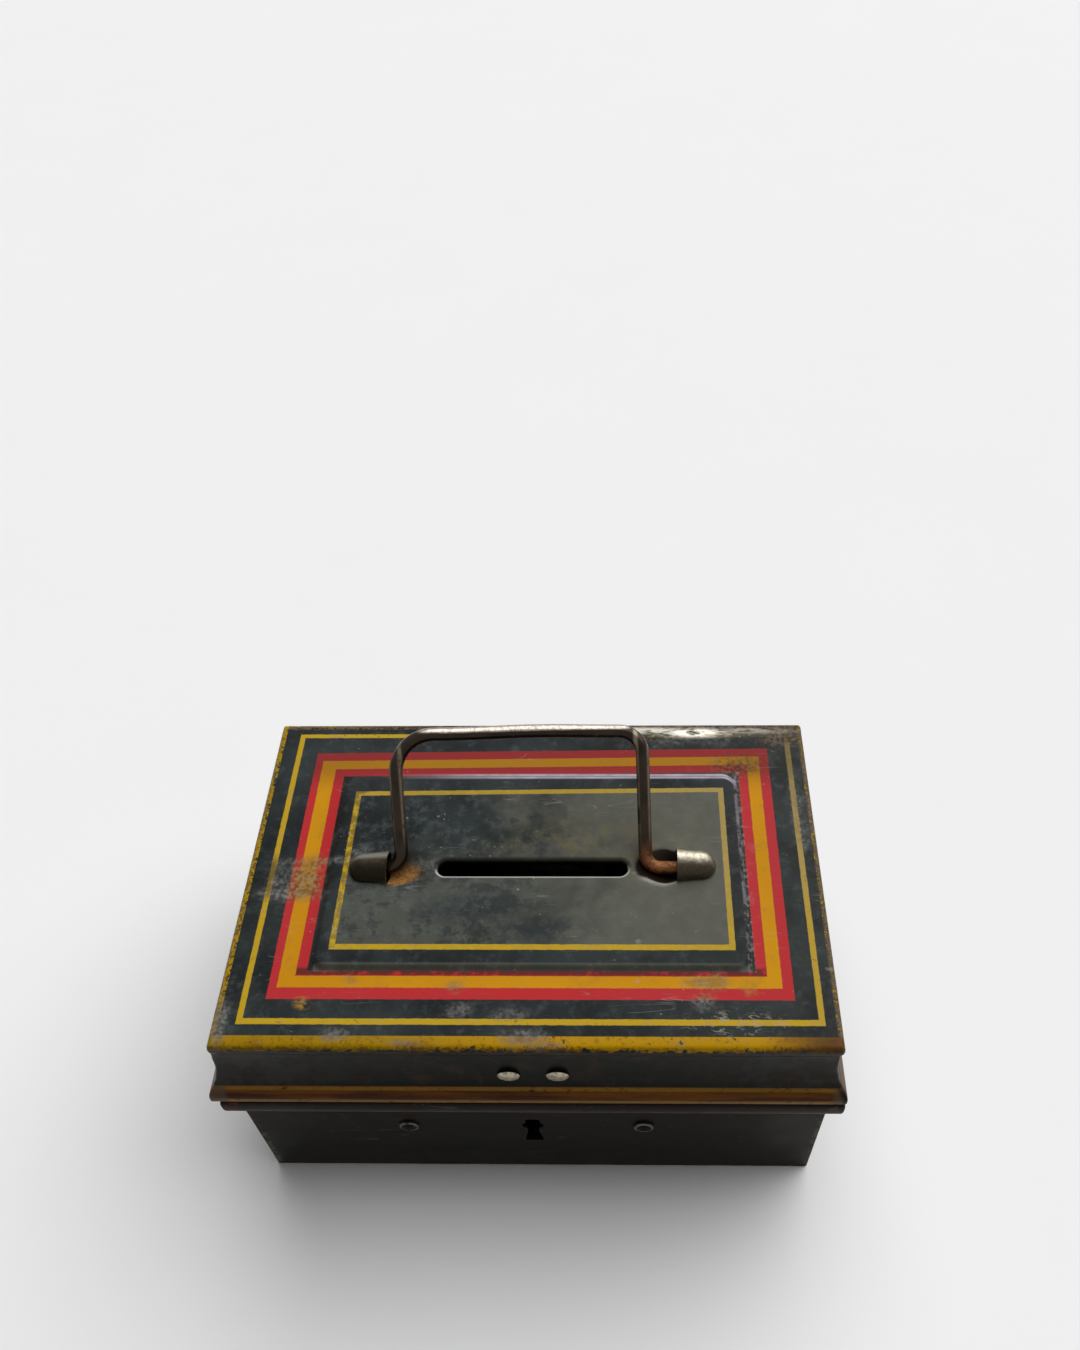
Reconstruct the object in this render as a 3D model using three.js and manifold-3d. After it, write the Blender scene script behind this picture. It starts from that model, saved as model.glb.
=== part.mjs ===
// A tinplate money box: a pressed lid with a coin slot and a wire bail, hinged to a box with a small lock.
// Millimetres, +Z up, origin at the middle of the underside, the lock side towards -Y.

import * as THREE from 'three';
import { mergeVertices } from 'three/addons/utils/BufferGeometryUtils.js';
import Module from 'manifold-3d';

const wasm = await Module();
wasm.setup();

// Driving sizes of the whole box
const boxWidth = 152;
const boxDepth = 102;
const shoulderHeight = 76.2; // floor to the flat of the lid
const seamHeight = 51.2; // floor to the top of the ledge that the lid rests on
const sheet = 0.6; // tinplate of lid, walls and pan
const cornerRadius = 1.5;
const gap = 0.3; // between pieces that touch on the real box
const overrun = 2; // how far every cutter runs past what it cuts
const weldDistance = 1e-4;

// Lid
const seamGap = 0.4;
const flareReach = 3.5; // how far the lid's lower edge and the ledge stand out from the walls
const panelHalfWidth = 55.3;
const panelHalfDepth = 30.7;
const panelShiftBack = 0.4;
const panelRise = 1.2;
const panelSlope = 1.2;
const panelRadius = 4;
const notchWidth = 1.4; // open corners of flare and ledge
const notchHeight = 9.5;

// Coin slot and the two pressed hoods that hold the bail, all about one middle
const fittingsShift = -0.8;
const slotLength = 50.6;
const slotWidth = 4.8;
const slotLipDrop = 1.9;
const hoodMouth = 38.2; // middle to the open end of a hood
const hoodLength = 10.8;
const hoodNose = 4.6;
const hoodRadius = 4.75;
const hoodShiftBack = 0.5;
const dishLength = 11;
const dishHalfWidth = 6.4;
const dishDepth = 3.3;
const mouthOverlap = 0.05; // the dish's hollow runs this far into the hood's

// Bail
const wireRadius = 1.8;
const wireSides = 12;
const bailWidth = 64.8; // between the middles of the legs
const bailShift = -3.1; // sits pushed to the left between the hoods
const bailReach = 36.5; // pivot to the middle of the top bar
const bailStub = 12;
const bailFootRadius = 4;
const bailLeftRadius = 10.5;
const bailRightRadius = 6.2;
const bailLean = 42; // degrees above the lid at rest
const bailDroop = 1; // left end of the top bar hangs lower
const pivotDrop = 0.6; // pivot below the top of the raised panel

// Body
const neckDrop = 2.2; // top of the walls, inside the lid, below the catch's flange
const ledgeDrop = 5.7;
const panFlange = 7;

// Keyhole and lock
const keyholeX = -1.1;
const keyholePivotZ = 29.6;
const keyholeHeight = 13;
const keyholeWidth = 4.6;
const lockRivetLeftX = -34.5;
const lockRivetRightX = 28.8;
const lockRivetZ = 29.6;
const lockSheet = 0.8;
const lockWingHalfHeight = 8;
const lockWingMargin = 6.6; // past the rivets
const lockBoxMargin = 2; // room beside the bolt
const lockBoxBottom = 17.5;
const lockBoxTop = 49.9;
const lockBoxDepth = 8.1;
const boltPlate = 1.6;
const boltBarBottom = 36.8;
const boltBarHeight = 5;
const boltEndMargin = 1.7; // past its slots
const boltArmWidth = 8;
const boltNoseHeight = 3.2;
const boltTravel = 5.5;
const talonWidth = 6;
const talonDepth = 3.2;
const guidePinRadius = 0.8;
const guidePinHeadRadius = 1.5;
const guidePinHeadHeight = 0.45;
const guidePinSpacing = 23;
const keyPostRadius = 0.9;
const keyPostCollarRadius = 1.8;
const keyPostSetback = 2.1; // behind the front of the wall
const springThickness = 0.5;
const springClearance = 1.2;

// Catch
const catchPlate = 1.2;
const catchWidth = 15;
const catchFlangeWidth = 19;
const catchX = 0.75;
const catchSetback = 1.4; // inside the front wall
const catchFlangeMargin = 0.73; // flange past the tails of its rivets
const hookClearance = 0.45;
const hookLip = 2.4;
const hookNotch = 4.6;
const hookNotchDepth = 10;

// Rivets
const rivetHeadRadius = 2.85;
const rivetHeadHeight = 1.1;
const rivetShankRadius = 1.3;
const rivetTailRadius = 2.1;
const rivetTailHeight = 0.6;
const rivetClearance = 0.2;
const catchRivetSpacing = 12.1;
const rivetSides = 14;
const roundSides = 16;
const hoodSides = 24;
const pinSides = 12;
const arcSteps = 8;

// Hinges
const hingeSpacing = 84;
const hingeWidth = 22;
const hingeLeaf = 0.8;
const hingePinRadius = 0.8;
const hingePinHeadRadius = 1.4;
const hingeBoreRadius = 1.05;
const hingeEyeRadius = 1.75;
const hingeReach = 5.9; // pin behind the rear wall
const hingeRivetSpacing = 12;
const hingeRivetDrop = 12.6; // body rivets below the pin
const hingeLeafBottom = 17.6; // body leaf below the pin
const leafBend = 1.6; // where the body leaf turns outwards to its knuckles
const middleKnuckleShare = 0.4;
const leafEndShare = 0.63; // where the body leaf ends, of the pin's reach
const tongueShare = 0.4; // where the lid leaf meets its knuckle
const nibReach = 3;
const nibAngle = 112; // degrees from straight up towards the rear

const halfWidth = boxWidth / 2;
const halfDepth = boxDepth / 2;
const lipHeight = seamHeight + seamGap;
const panelTop = shoulderHeight + panelRise;
const skirtHeight = shoulderHeight - lipHeight;
const wallInside = halfDepth - sheet;
const pivotZ = panelTop - pivotDrop;
const hingeY = halfDepth + hingeReach;
const hingeZ = seamHeight + seamGap / 2;

// Lid outline from the shoulder down to the lower edge: out from the wall as a share of the flare,
// and down from the shoulder as a share of the skirt. Rivets sit on the straight run in the middle.
const lidOutlineShares = [
  [-0.86, 0], [-0.26, 0.02], [-0.04, 0.055], [0.04, 0.105], [-0.02, 0.15], [-0.12, 0.19],
  [-0.12, 0.26], [-0.05, 0.35], [0.1, 0.47], [0.58, 0.69], [0.74, 0.735], [0.9, 0.8], [0.98, 0.88], [1, 1],
];
const rivetRunStart = 8; // first point of the straight run
const rivetRunEnd = 10; // one past its last point
const leafRunEnd = 13; // the hinge leaf follows the skirt down to this point

// Ledge outline from the wall below it round to its top: out and down as shares of flare and ledge drop.
const ledgeOutlineShares = [
  [0, 0.56], [0.58, 0.58], [0.6, 0.86], [0.72, 1], [0.9, 0.96], [1, 0.76], [1.01, 0.3], [0.93, 0.07],
  [0.76, 0], [0, 0],
];

// Crown of a domed rivet and roll of a tubular one, from the rim inwards: radius and height shares.
const domeShares = [[1, 0], [0.9, 0.5], [0.55, 0.88], [0, 1]];
const rollShares = [[1, 0], [0.97, 0.5], [0.7, 0.7], [0.42, 0.4]];
const rivetBoreShare = 0.34;
const pinHeadShares = [[1, 0], [1, 0.5], [0.6, 1], [0, 1]];

// Lock spring from the corner of the case to its foot on the bolt: across and up shares of the room it has.
const springShares = [[0, 0.2], [0, 1], [0.28, 1], [0.88, 0], [1, 0.08]];

// Keyhole outline, right half, from the top down: width and height shares, round the pivot's height.
const keyholeTopShare = 0.22;
const keyholeOutlineShares = [
  [0.36, 0], [0.5, 0.07], [0.5, 0.14], [0.74, 0.2], [0.74, 0.27], [0.5, 0.3], [0.44, 0.38], [0.24, 0.42],
  [0.24, 0.58], [0.3, 0.7], [0.46, 0.9], [0.46, 1],
];

// A closed geometry as a solid that can be joined and cut, with its faces turned outwards.
function solid(geometry) {
  const bare = geometry.index ? geometry.toNonIndexed() : geometry.clone();
  bare.deleteAttribute('normal');
  bare.deleteAttribute('uv');
  const merged = mergeVertices(bare, weldDistance);
  const places = merged.attributes.position.array;
  const corner = (i) => new THREE.Vector3().fromArray(places, i * 3);
  const kept = [];
  let volume = 0;
  for (let i = 0; i < merged.index.count; i += 3) {
    const [a, b, c] = merged.index.array.slice(i, i + 3);
    if (a !== b && b !== c && c !== a) {
      kept.push([a, b, c]);
      volume += corner(a).dot(corner(b).cross(corner(c)));
    }
  }
  const faces = volume < 0 ? kept.map(([a, b, c]) => [a, c, b]) : kept;
  return new wasm.Manifold(new wasm.Mesh({
    numProp: 3, vertProperties: new Float32Array(places), triVerts: new Uint32Array(faces.flat()) }));
}

function mesh(name, shape, color, roughness, metalness) {
  const made = shape.getMesh();
  const geometry = new THREE.BufferGeometry();
  geometry.setAttribute('position', new THREE.BufferAttribute(new Float32Array(made.vertProperties), 3));
  geometry.setIndex(Array.from(made.triVerts));
  geometry.computeVertexNormals();
  const piece = new THREE.Mesh(geometry, new THREE.MeshStandardMaterial({ color, roughness, metalness }));
  piece.name = name;
  return piece;
}

const paintedBlack = (name, shape) => mesh(name, shape, 0x23292a, 0.45, 0.3);
const barePlate = (name, shape) => mesh(name, shape, 0x8b8a84, 0.45, 0.9);
const steel = (name, shape) => mesh(name, shape, 0x6d6a64, 0.4, 0.95);
const wire = (name, shape) => mesh(name, shape, 0x5d5048, 0.42, 0.9);

// A solid block between two corners.
function block(x0, x1, y0, y1, z0, z1) {
  const geometry = new THREE.BoxGeometry(x1 - x0, y1 - y0, z1 - z0);
  geometry.translate((x0 + x1) / 2, (y0 + y1) / 2, (z0 + z1) / 2);
  return solid(geometry);
}

// A flat outline in X and Z, thickened along Y from y0 to y1.
function plateXZ(points, y0, y1, holes = []) {
  const shape = new THREE.Shape(points.map(([x, z]) => new THREE.Vector2(x, z)));
  shape.holes = holes.map((hole) => new THREE.Path(hole.map(([x, z]) => new THREE.Vector2(x, z))));
  const geometry = new THREE.ExtrudeGeometry(shape, { depth: y1 - y0, bevelEnabled: false });
  geometry.rotateX(Math.PI / 2);
  geometry.translate(0, y1, 0);
  return solid(geometry);
}

// A flat outline in Y and Z, thickened along X from x0 to x1.
function plateYZ(points, x0, x1) {
  const shape = new THREE.Shape(points.map(([y, z]) => new THREE.Vector2(y, z)));
  const geometry = new THREE.ExtrudeGeometry(shape, { depth: x1 - x0, bevelEnabled: false });
  geometry.applyMatrix4(new THREE.Matrix4().set(0, 0, 1, 0, 1, 0, 0, 0, 0, 1, 0, 0, 0, 0, 0, 1));
  geometry.translate(x0, 0, 0);
  return solid(geometry);
}

// A turned piece: radius and position along the axis, placed at a point and pointing along a direction.
function turned(profile, sides, place, direction) {
  const points = profile.map(([radius, along]) => new THREE.Vector2(radius, along));
  const geometry = new THREE.LatheGeometry(points, sides);
  const turn = new THREE.Quaternion().setFromUnitVectors(
    new THREE.Vector3(0, 1, 0), new THREE.Vector3(...direction).normalize());
  geometry.applyQuaternion(turn);
  geometry.translate(...place);
  return solid(geometry);
}

function rod(radius, start, end, sides, place, direction) {
  return turned([[0, start], [radius, start], [radius, end], [0, end]], sides, place, direction);
}

// Moves every point of an open outline to its left by a distance, with sharp corners.
function offsetOutline(points, distance) {
  const normals = points.slice(1).map(([x, y], i) => {
    const run = [x - points[i][0], y - points[i][1]];
    const length = Math.hypot(...run);
    return [-run[1] / length, run[0] / length];
  });
  return points.map(([x, y], i) => {
    const before = normals[Math.max(i - 1, 0)];
    const after = normals[Math.min(i, normals.length - 1)];
    const stretch = distance / (1 + before[0] * after[0] + before[1] * after[1]);
    return [x + (before[0] + after[0]) * stretch, y + (before[1] + after[1]) * stretch];
  });
}

// A bent strip of even thickness along an open outline.
function strip(points, thickness) {
  return [...offsetOutline(points, thickness / 2), ...offsetOutline(points, -thickness / 2).reverse()];
}

// A rounded rectangle at one height, as a ring of points.
function roundedRing({ halfX, halfY, radius, z, shiftY = 0 }) {
  const turnsPerCorner = 3;
  const ring = [];
  [[1, 1], [-1, 1], [-1, -1], [1, -1]].forEach(([sx, sy], corner) => {
    for (let i = 0; i <= turnsPerCorner; i += 1) {
      const angle = (corner + i / turnsPerCorner) * Math.PI / 2;
      const x = sx * (halfX - radius) + radius * Math.cos(angle);
      const y = sy * (halfY - radius) + radius * Math.sin(angle) + shiftY;
      ring.push([x, y, z]);
    }
  });
  return ring;
}

// Skins a closed body through rings, from a flat cap on the first ring to a flat cap on the last.
function skinnedRings(rings) {
  const count = rings[0].length;
  const positions = rings.flat(2);
  const faces = [];
  for (let r = 0; r < rings.length - 1; r += 1) {
    for (let i = 0; i < count; i += 1) {
      const next = (i + 1) % count;
      const [a, b, c, d] = [r * count + i, r * count + next, (r + 1) * count + next, (r + 1) * count + i];
      faces.push(a, d, b, b, d, c);
    }
  }
  for (let i = 1; i < count - 1; i += 1) {
    const last = (rings.length - 1) * count;
    faces.push(0, i, i + 1);
    faces.push(last, last + i + 1, last + i);
  }
  const geometry = new THREE.BufferGeometry();
  geometry.setAttribute('position', new THREE.BufferAttribute(new Float32Array(positions), 3));
  geometry.setIndex(faces);
  return solid(geometry);
}

// A ring that stands a given distance outside the walls.
const wallRing = (out, z, radius = cornerRadius) => roundedRing({
  halfX: halfWidth + out, halfY: halfDepth + out, radius, z });

const lidOutline = lidOutlineShares.map(([out, down]) => [
  out * flareReach, shoulderHeight - down * skirtHeight]);
const ledgeOutline = ledgeOutlineShares.map(([out, down]) => [
  out * flareReach, seamHeight - down * ledgeDrop]);

// The straight run of the skirt that carries rivets: its middle, and the way out of it.
const rivetRun = lidOutline.slice(rivetRunStart, rivetRunEnd);
const rivetRunOut = (rivetRun[0][0] + rivetRun[1][0]) / 2;
const rivetRunZ = (rivetRun[0][1] + rivetRun[1][1]) / 2;
const rivetRunFall = [rivetRun[1][0] - rivetRun[0][0], rivetRun[1][1] - rivetRun[0][1]];
const rivetRunLength = Math.hypot(...rivetRunFall);
const rivetRunNormal = [-rivetRunFall[1] / rivetRunLength, rivetRunFall[0] / rivetRunLength];

// The catch's flange lies along that run, and the walls of the body end below it.
const flangeReach = (rivetTailRadius + catchFlangeMargin) / rivetRunLength;
const flangeRun = [-flangeReach, flangeReach].map((way) => [
  rivetRunOut + way * rivetRunFall[0], rivetRunZ + way * rivetRunFall[1]]);
const neckTop = flangeRun[1][1] - neckDrop;

// Tail and shank of a rivet through a stack of plates, measured from the seat of its head.
const rivetShank = (stack) => [
  [0, -stack - gap - rivetTailHeight], [rivetTailRadius, -stack - gap - rivetTailHeight],
  [rivetTailRadius, -stack - gap], [rivetShankRadius, -stack - gap], [rivetShankRadius, gap]];
const crown = (shares) => shares.map(([out, up]) => [out * rivetHeadRadius, gap + up * rivetHeadHeight]);

function domedRivet(stack, place, outward) {
  return turned([...rivetShank(stack), ...crown(domeShares)], rivetSides, place, outward);
}

// A tubular rivet is set into a rolled ring round a blind bore.
function tubularRivet(stack, place, outward) {
  const bore = rivetHeadRadius * rivetBoreShare;
  const profile = [...rivetShank(stack), ...crown(rollShares), [bore, -stack], [0, -stack]];
  return turned(profile, roundSides, place, outward);
}

function rivetHole(place, outward) {
  const reach = rivetHeadRadius + overrun;
  return rod(rivetShankRadius + rivetClearance, -reach, reach, rivetSides, place, outward);
}

const punched = (plate, rivets) => rivets.reduce(
  (cut, { place, outward }) => cut.subtract(rivetHole(place, outward)), plate);

const alongX = [1, 0, 0];
const frontOutward = [0, -1, 0];
const rearOutward = [0, 1, 0];
const catchRivets = [-1, 1].map((side) => ({
  place: [catchX + side * catchRivetSpacing / 2, -halfDepth - rivetRunOut, rivetRunZ],
  outward: [0, -rivetRunNormal[0], rivetRunNormal[1]],
}));
const lockRivets = [lockRivetLeftX, lockRivetRightX].map((x) => ({
  place: [x, -halfDepth, lockRivetZ], outward: frontOutward }));
const hingeCentres = [-hingeSpacing / 2, hingeSpacing / 2];

function hingeRivets(centre) {
  const lid = [-1, 1].map((side) => ({
    place: [centre + side * hingeRivetSpacing / 2, halfDepth + rivetRunOut, rivetRunZ],
    outward: [0, rivetRunNormal[0], rivetRunNormal[1]],
  }));
  const body = [-1, 1].map((side) => ({
    place: [centre + side * hingeRivetSpacing / 2, halfDepth, hingeZ - hingeRivetDrop],
    outward: rearOutward,
  }));
  return { lid, body };
}

// Wedge that opens one corner: it widens downwards and lies on the front or rear side of the diagonal.
function cornerNotch(sideX, sideY, top, bottom) {
  const across = sideX * sideY * notchWidth;
  const wedge = [[0, top], [0, bottom - overrun], [across, bottom - overrun], [across, bottom]];
  const geometry = new THREE.ExtrudeGeometry(
    new THREE.Shape(wedge.map(([x, z]) => new THREE.Vector2(x, z))),
    { depth: flareReach * 2 + overrun, bevelEnabled: false });
  geometry.rotateX(Math.PI / 2);
  geometry.rotateZ(Math.atan2(sideY, sideX) + Math.PI / 2);
  geometry.translate(sideX * halfWidth, sideY * halfDepth, 0);
  return solid(geometry);
}

function makeLid() {
  const flat = [
    { halfX: panelHalfWidth - panelSlope, halfY: panelHalfDepth - panelSlope,
      radius: panelRadius - panelSlope, z: panelTop, shiftY: panelShiftBack },
    { halfX: panelHalfWidth, halfY: panelHalfDepth, radius: panelRadius, z: shoulderHeight,
      shiftY: panelShiftBack },
  ];
  const outer = lidOutline.map(([out, z]) => wallRing(out, z));
  const inner = offsetOutline(lidOutline, -sheet).map(([out, z]) => [out, Math.max(z, lipHeight)]).reverse();
  const innerRadius = cornerRadius - sheet;
  const underside = flat.map((ring) => ({
    ...ring, halfX: ring.halfX - sheet / 2, halfY: ring.halfY - sheet / 2, radius: ring.radius - sheet / 2,
    z: ring.z - sheet })).reverse();
  let lid = skinnedRings([
    ...flat.map(roundedRing), ...outer, ...inner.map(([out, z]) => wallRing(out, z, innerRadius)),
    ...underside.map(roundedRing),
  ]);
  lid = addSlotLip(lid);
  [-1, 1].forEach((side) => { lid = addHoodAndDish(lid, side); });
  [-1, 1].forEach((sx) => [-1, 1].forEach((sy) => {
    lid = lid.subtract(cornerNotch(sx, sy, lipHeight + notchHeight, lipHeight));
  }));
  const rivets = [...catchRivets, ...hingeCentres.flatMap((centre) => hingeRivets(centre).lid)];
  return paintedBlack('lid_shell', punched(lid, rivets));
}

// Outline of the slot with round ends, grown by a margin.
function slotOutline(margin) {
  const radius = slotWidth / 2 + margin;
  const straight = slotLength / 2 - slotWidth / 2;
  const path = new THREE.Shape();
  path.absarc(straight, 0, radius, -Math.PI / 2, Math.PI / 2, false);
  path.absarc(-straight, 0, radius, Math.PI / 2, Math.PI * 1.5, false);
  return path;
}

function slotPrism(margin, bottom, top) {
  const geometry = new THREE.ExtrudeGeometry(slotOutline(margin), {
    depth: top - bottom, bevelEnabled: false, curveSegments: arcSteps });
  geometry.translate(fittingsShift, 0, bottom);
  return solid(geometry);
}

function addSlotLip(lid) {
  const lip = slotPrism(sheet, panelTop - slotLipDrop, panelTop - sheet / 2);
  return lid.add(lip).subtract(slotPrism(0, panelTop - slotLipDrop - overrun, panelTop + overrun));
}

// A hood is half a capsule with a tapered nose, open at its mouth and below.
function hoodForm(thickness) {
  const radius = hoodRadius - thickness;
  const noseSteps = 4;
  const profile = [[0, 0], [radius, 0]];
  for (let i = 0; i < noseSteps; i += 1) {
    const angle = (i / noseSteps) * Math.PI / 2;
    const along = hoodLength - hoodNose + (hoodNose - thickness) * Math.sin(angle);
    profile.push([radius * Math.cos(angle), along]);
  }
  profile.push([0, hoodLength - thickness]);
  return profile;
}

// A dish is a quarter of an ellipsoid, pressed down beside the mouth of its hood.
function dishForm(side, thickness) {
  const geometry = new THREE.SphereGeometry(1, hoodSides, roundSides);
  geometry.rotateX(Math.PI / 2);
  geometry.scale(dishLength + thickness, dishHalfWidth + thickness, dishDepth + thickness);
  geometry.translate(fittingsShift + side * hoodMouth, hoodShiftBack, panelTop);
  return solid(geometry);
}

function addHoodAndDish(lid, side) {
  const mouth = fittingsShift + side * hoodMouth;
  const place = [mouth, hoodShiftBack, panelTop];
  const span = [mouth - side * (dishLength + overrun), mouth].sort((a, b) => a - b);
  const reach = dishHalfWidth + overrun;
  const seat = panelTop - sheet / 2;
  const shell = turned(hoodForm(0), hoodSides, place, [side, 0, 0]).intersect(
    block(mouth - hoodLength, mouth + hoodLength, -reach, reach, seat, panelTop + hoodRadius * 2));
  const bowl = dishForm(side, sheet).intersect(
    block(...span, -reach, reach, panelTop - dishDepth - overrun, seat));
  const hollowSpan = [span[0] - mouthOverlap, span[1] + mouthOverlap];
  const bowlHollow = dishForm(side, 0).intersect(
    block(...hollowSpan, -reach, reach, panelTop - dishDepth - overrun, panelTop + overrun));
  const hoodHollow = turned(hoodForm(sheet), hoodSides, place, [side, 0, 0]);
  return lid.add(shell).add(bowl).subtract(bowlHollow).subtract(hoodHollow);
}

function keyholeOutline() {
  const top = keyholePivotZ + keyholeHeight * keyholeTopShare;
  const right = keyholeOutlineShares.map(([across, down]) => [
    keyholeX + across * keyholeWidth, top - down * keyholeHeight]);
  const left = keyholeOutlineShares.map(([across, down]) => [
    keyholeX - across * keyholeWidth, top - down * keyholeHeight]);
  return [...right, ...left.reverse()];
}

function makeBody() {
  const rings = [
    wallRing(0, 0), ...ledgeOutline.map(([out, z]) => wallRing(out, z)), wallRing(0, neckTop),
    wallRing(-sheet, neckTop, cornerRadius - sheet), wallRing(-sheet, 0, cornerRadius - sheet),
  ];
  let body = closedTube(rings);
  [-1, 1].forEach((sx) => [-1, 1].forEach((sy) => {
    body = body.subtract(cornerNotch(sx, sy, seamHeight + notchWidth, seamHeight - ledgeDrop));
  }));
  hingeCentres.forEach((centre) => {
    const half = hingeWidth / 2 + gap;
    body = body.subtract(block(centre - half, centre + half, halfDepth, halfDepth + flareReach + overrun,
      seamHeight - ledgeDrop - overrun, seamHeight + overrun));
  });
  body = body.subtract(plateXZ(keyholeOutline(), -halfDepth - overrun, -halfDepth + overrun));
  const rivets = [...lockRivets, ...hingeCentres.flatMap((centre) => hingeRivets(centre).body)];
  return paintedBlack('body_shell', punched(body, rivets));
}

// Skins rings that come back to the first one, without caps.
function closedTube(rings) {
  const count = rings[0].length;
  const faces = [];
  rings.forEach((ring, r) => {
    const above = ((r + 1) % rings.length) * count;
    for (let i = 0; i < count; i += 1) {
      const next = (i + 1) % count;
      faces.push(r * count + i, r * count + next, above + i, r * count + next, above + next, above + i);
    }
  });
  const geometry = new THREE.BufferGeometry();
  geometry.setAttribute('position', new THREE.BufferAttribute(new Float32Array(rings.flat(2)), 3));
  geometry.setIndex(faces);
  return solid(geometry);
}

function makePan() {
  const outside = -sheet - gap;
  const inside = outside - sheet;
  const edge = sheet;
  const rings = [
    wallRing(inside, edge, cornerRadius - sheet), wallRing(inside, panFlange, cornerRadius - sheet),
    wallRing(outside, panFlange), wallRing(outside, edge), wallRing(outside - edge, 0),
  ];
  return barePlate('bottom_pan', skinnedRings(rings));
}

// Points of the skirt as places in Y and Z, on the front or the rear.
const onFront = ([out, z]) => [-halfDepth - out, z];
const onRear = ([out, z]) => [halfDepth + out, z];

const boltY = -wallInside + catchSetback + catchPlate / 2;
const boltTop = boltBarBottom + boltBarHeight;
const lipBottom = boltTop + hookClearance;
const notchBottom = lipBottom + hookLip;
const noseBottom = notchBottom + (hookNotch - boltNoseHeight) / 2;
const catchLeft = catchX - catchWidth / 2;

// The catch hangs from the inside of the skirt, steps in over the neck and ends in a hook open to the left.
function makeCatch() {
  const along = offsetOutline(flangeRun, -sheet - gap - catchPlate / 2);
  const step = [-(halfDepth + boltY), neckTop + gap + catchPlate / 2];
  const flange = plateYZ(strip(along.map(onFront), catchPlate),
    catchX - catchFlangeWidth / 2, catchX + catchFlangeWidth / 2);
  const tongue = plateYZ(strip([...along, step, [step[0], lipBottom]].map(onFront), catchPlate),
    catchLeft, catchLeft + catchWidth);
  const notch = block(catchLeft - overrun, catchLeft + hookNotchDepth, boltY - catchPlate,
    boltY + catchPlate, notchBottom, notchBottom + hookNotch);
  return barePlate('catch_hook', punched(flange.add(tongue).subtract(notch), catchRivets));
}

const slotReach = guidePinRadius + gap;
const boltReach = guidePinSpacing / 2 + slotReach + boltEndMargin;
const lockBoxHalfWidth = boltReach + boltTravel + lockBoxMargin + lockSheet;
const lockBack = -wallInside + gap + lockBoxDepth;
const lockInside = lockBack - lockSheet;
const lockLeft = keyholeX - lockBoxHalfWidth;
const lockRight = keyholeX + lockBoxHalfWidth;
const guidePinZ = boltBarBottom + boltBarHeight / 2;
const guidePins = [-1, 1].map((side) => [keyholeX + side * guidePinSpacing / 2, lockBack, guidePinZ]);
const keyPostPlace = [keyholeX, lockBack, keyholePivotZ];

// A pressed steel box over the bolt, with a wing each side that is riveted to the front wall.
function makeLockCase() {
  const face = -wallInside + gap;
  const chamfer = lockWingHalfHeight / 4;
  const wingLeft = lockRivetLeftX - lockWingMargin;
  const wingRight = lockRivetRightX + lockWingMargin;
  const wingTop = lockRivetZ + lockWingHalfHeight;
  const wingBottom = lockRivetZ - lockWingHalfHeight;
  const wings = plateXZ([
    [wingLeft + chamfer, wingBottom], [wingRight - chamfer, wingBottom], [wingRight, wingBottom + chamfer],
    [wingRight, wingTop - chamfer], [wingRight - chamfer, wingTop], [wingLeft + chamfer, wingTop],
    [wingLeft, wingTop - chamfer], [wingLeft, wingBottom + chamfer]], face, face + lockSheet);
  const shell = block(lockLeft, lockRight, face, lockBack, lockBoxBottom, lockBoxTop);
  const hollow = block(lockLeft + lockSheet, lockRight - lockSheet, face - overrun, lockInside,
    lockBoxBottom + lockSheet, lockBoxTop - lockSheet);
  const mouth = block(catchLeft - gap, catchLeft + catchWidth + gap, face - overrun,
    boltY + catchPlate / 2 + gap, lockBoxTop - lockSheet - overrun, lockBoxTop + overrun);
  let lockCase = punched(wings.add(shell).subtract(hollow).subtract(mouth), lockRivets);
  [...guidePins, keyPostPlace].forEach((place) => {
    lockCase = lockCase.subtract(
      rod(keyPostRadius + rivetClearance, -overrun, overrun, pinSides, place, frontOutward));
  });
  return barePlate('lock_case', lockCase);
}

// The bolt slides to the right under the hook when the key lifts round in its talon.
function makeBolt() {
  const tip = catchLeft - hookClearance;
  const start = keyholeX - boltReach - boltTravel;
  const end = keyholeX + boltReach;
  const arm = start + boltArmWidth;
  const talonLeft = keyholeX - talonWidth / 2;
  const talonRight = keyholeX + talonWidth / 2;
  const outline = [
    [start, boltBarBottom], [talonLeft, boltBarBottom], [talonLeft, boltBarBottom + talonDepth],
    [talonRight, boltBarBottom + talonDepth], [talonRight, boltBarBottom], [end, boltBarBottom],
    [end, boltTop], [arm, boltTop], [arm, noseBottom], [tip, noseBottom], [tip, noseBottom + boltNoseHeight],
    [start, noseBottom + boltNoseHeight]];
  const slots = guidePins.map(([x]) => [
    [x - boltTravel - slotReach, guidePinZ - slotReach], [x + slotReach, guidePinZ - slotReach],
    [x + slotReach, guidePinZ + slotReach], [x - boltTravel - slotReach, guidePinZ + slotReach]]);
  return steel('lock_bolt', plateXZ(outline, boltY - boltPlate / 2, boltY + boltPlate / 2, slots));
}

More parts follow.
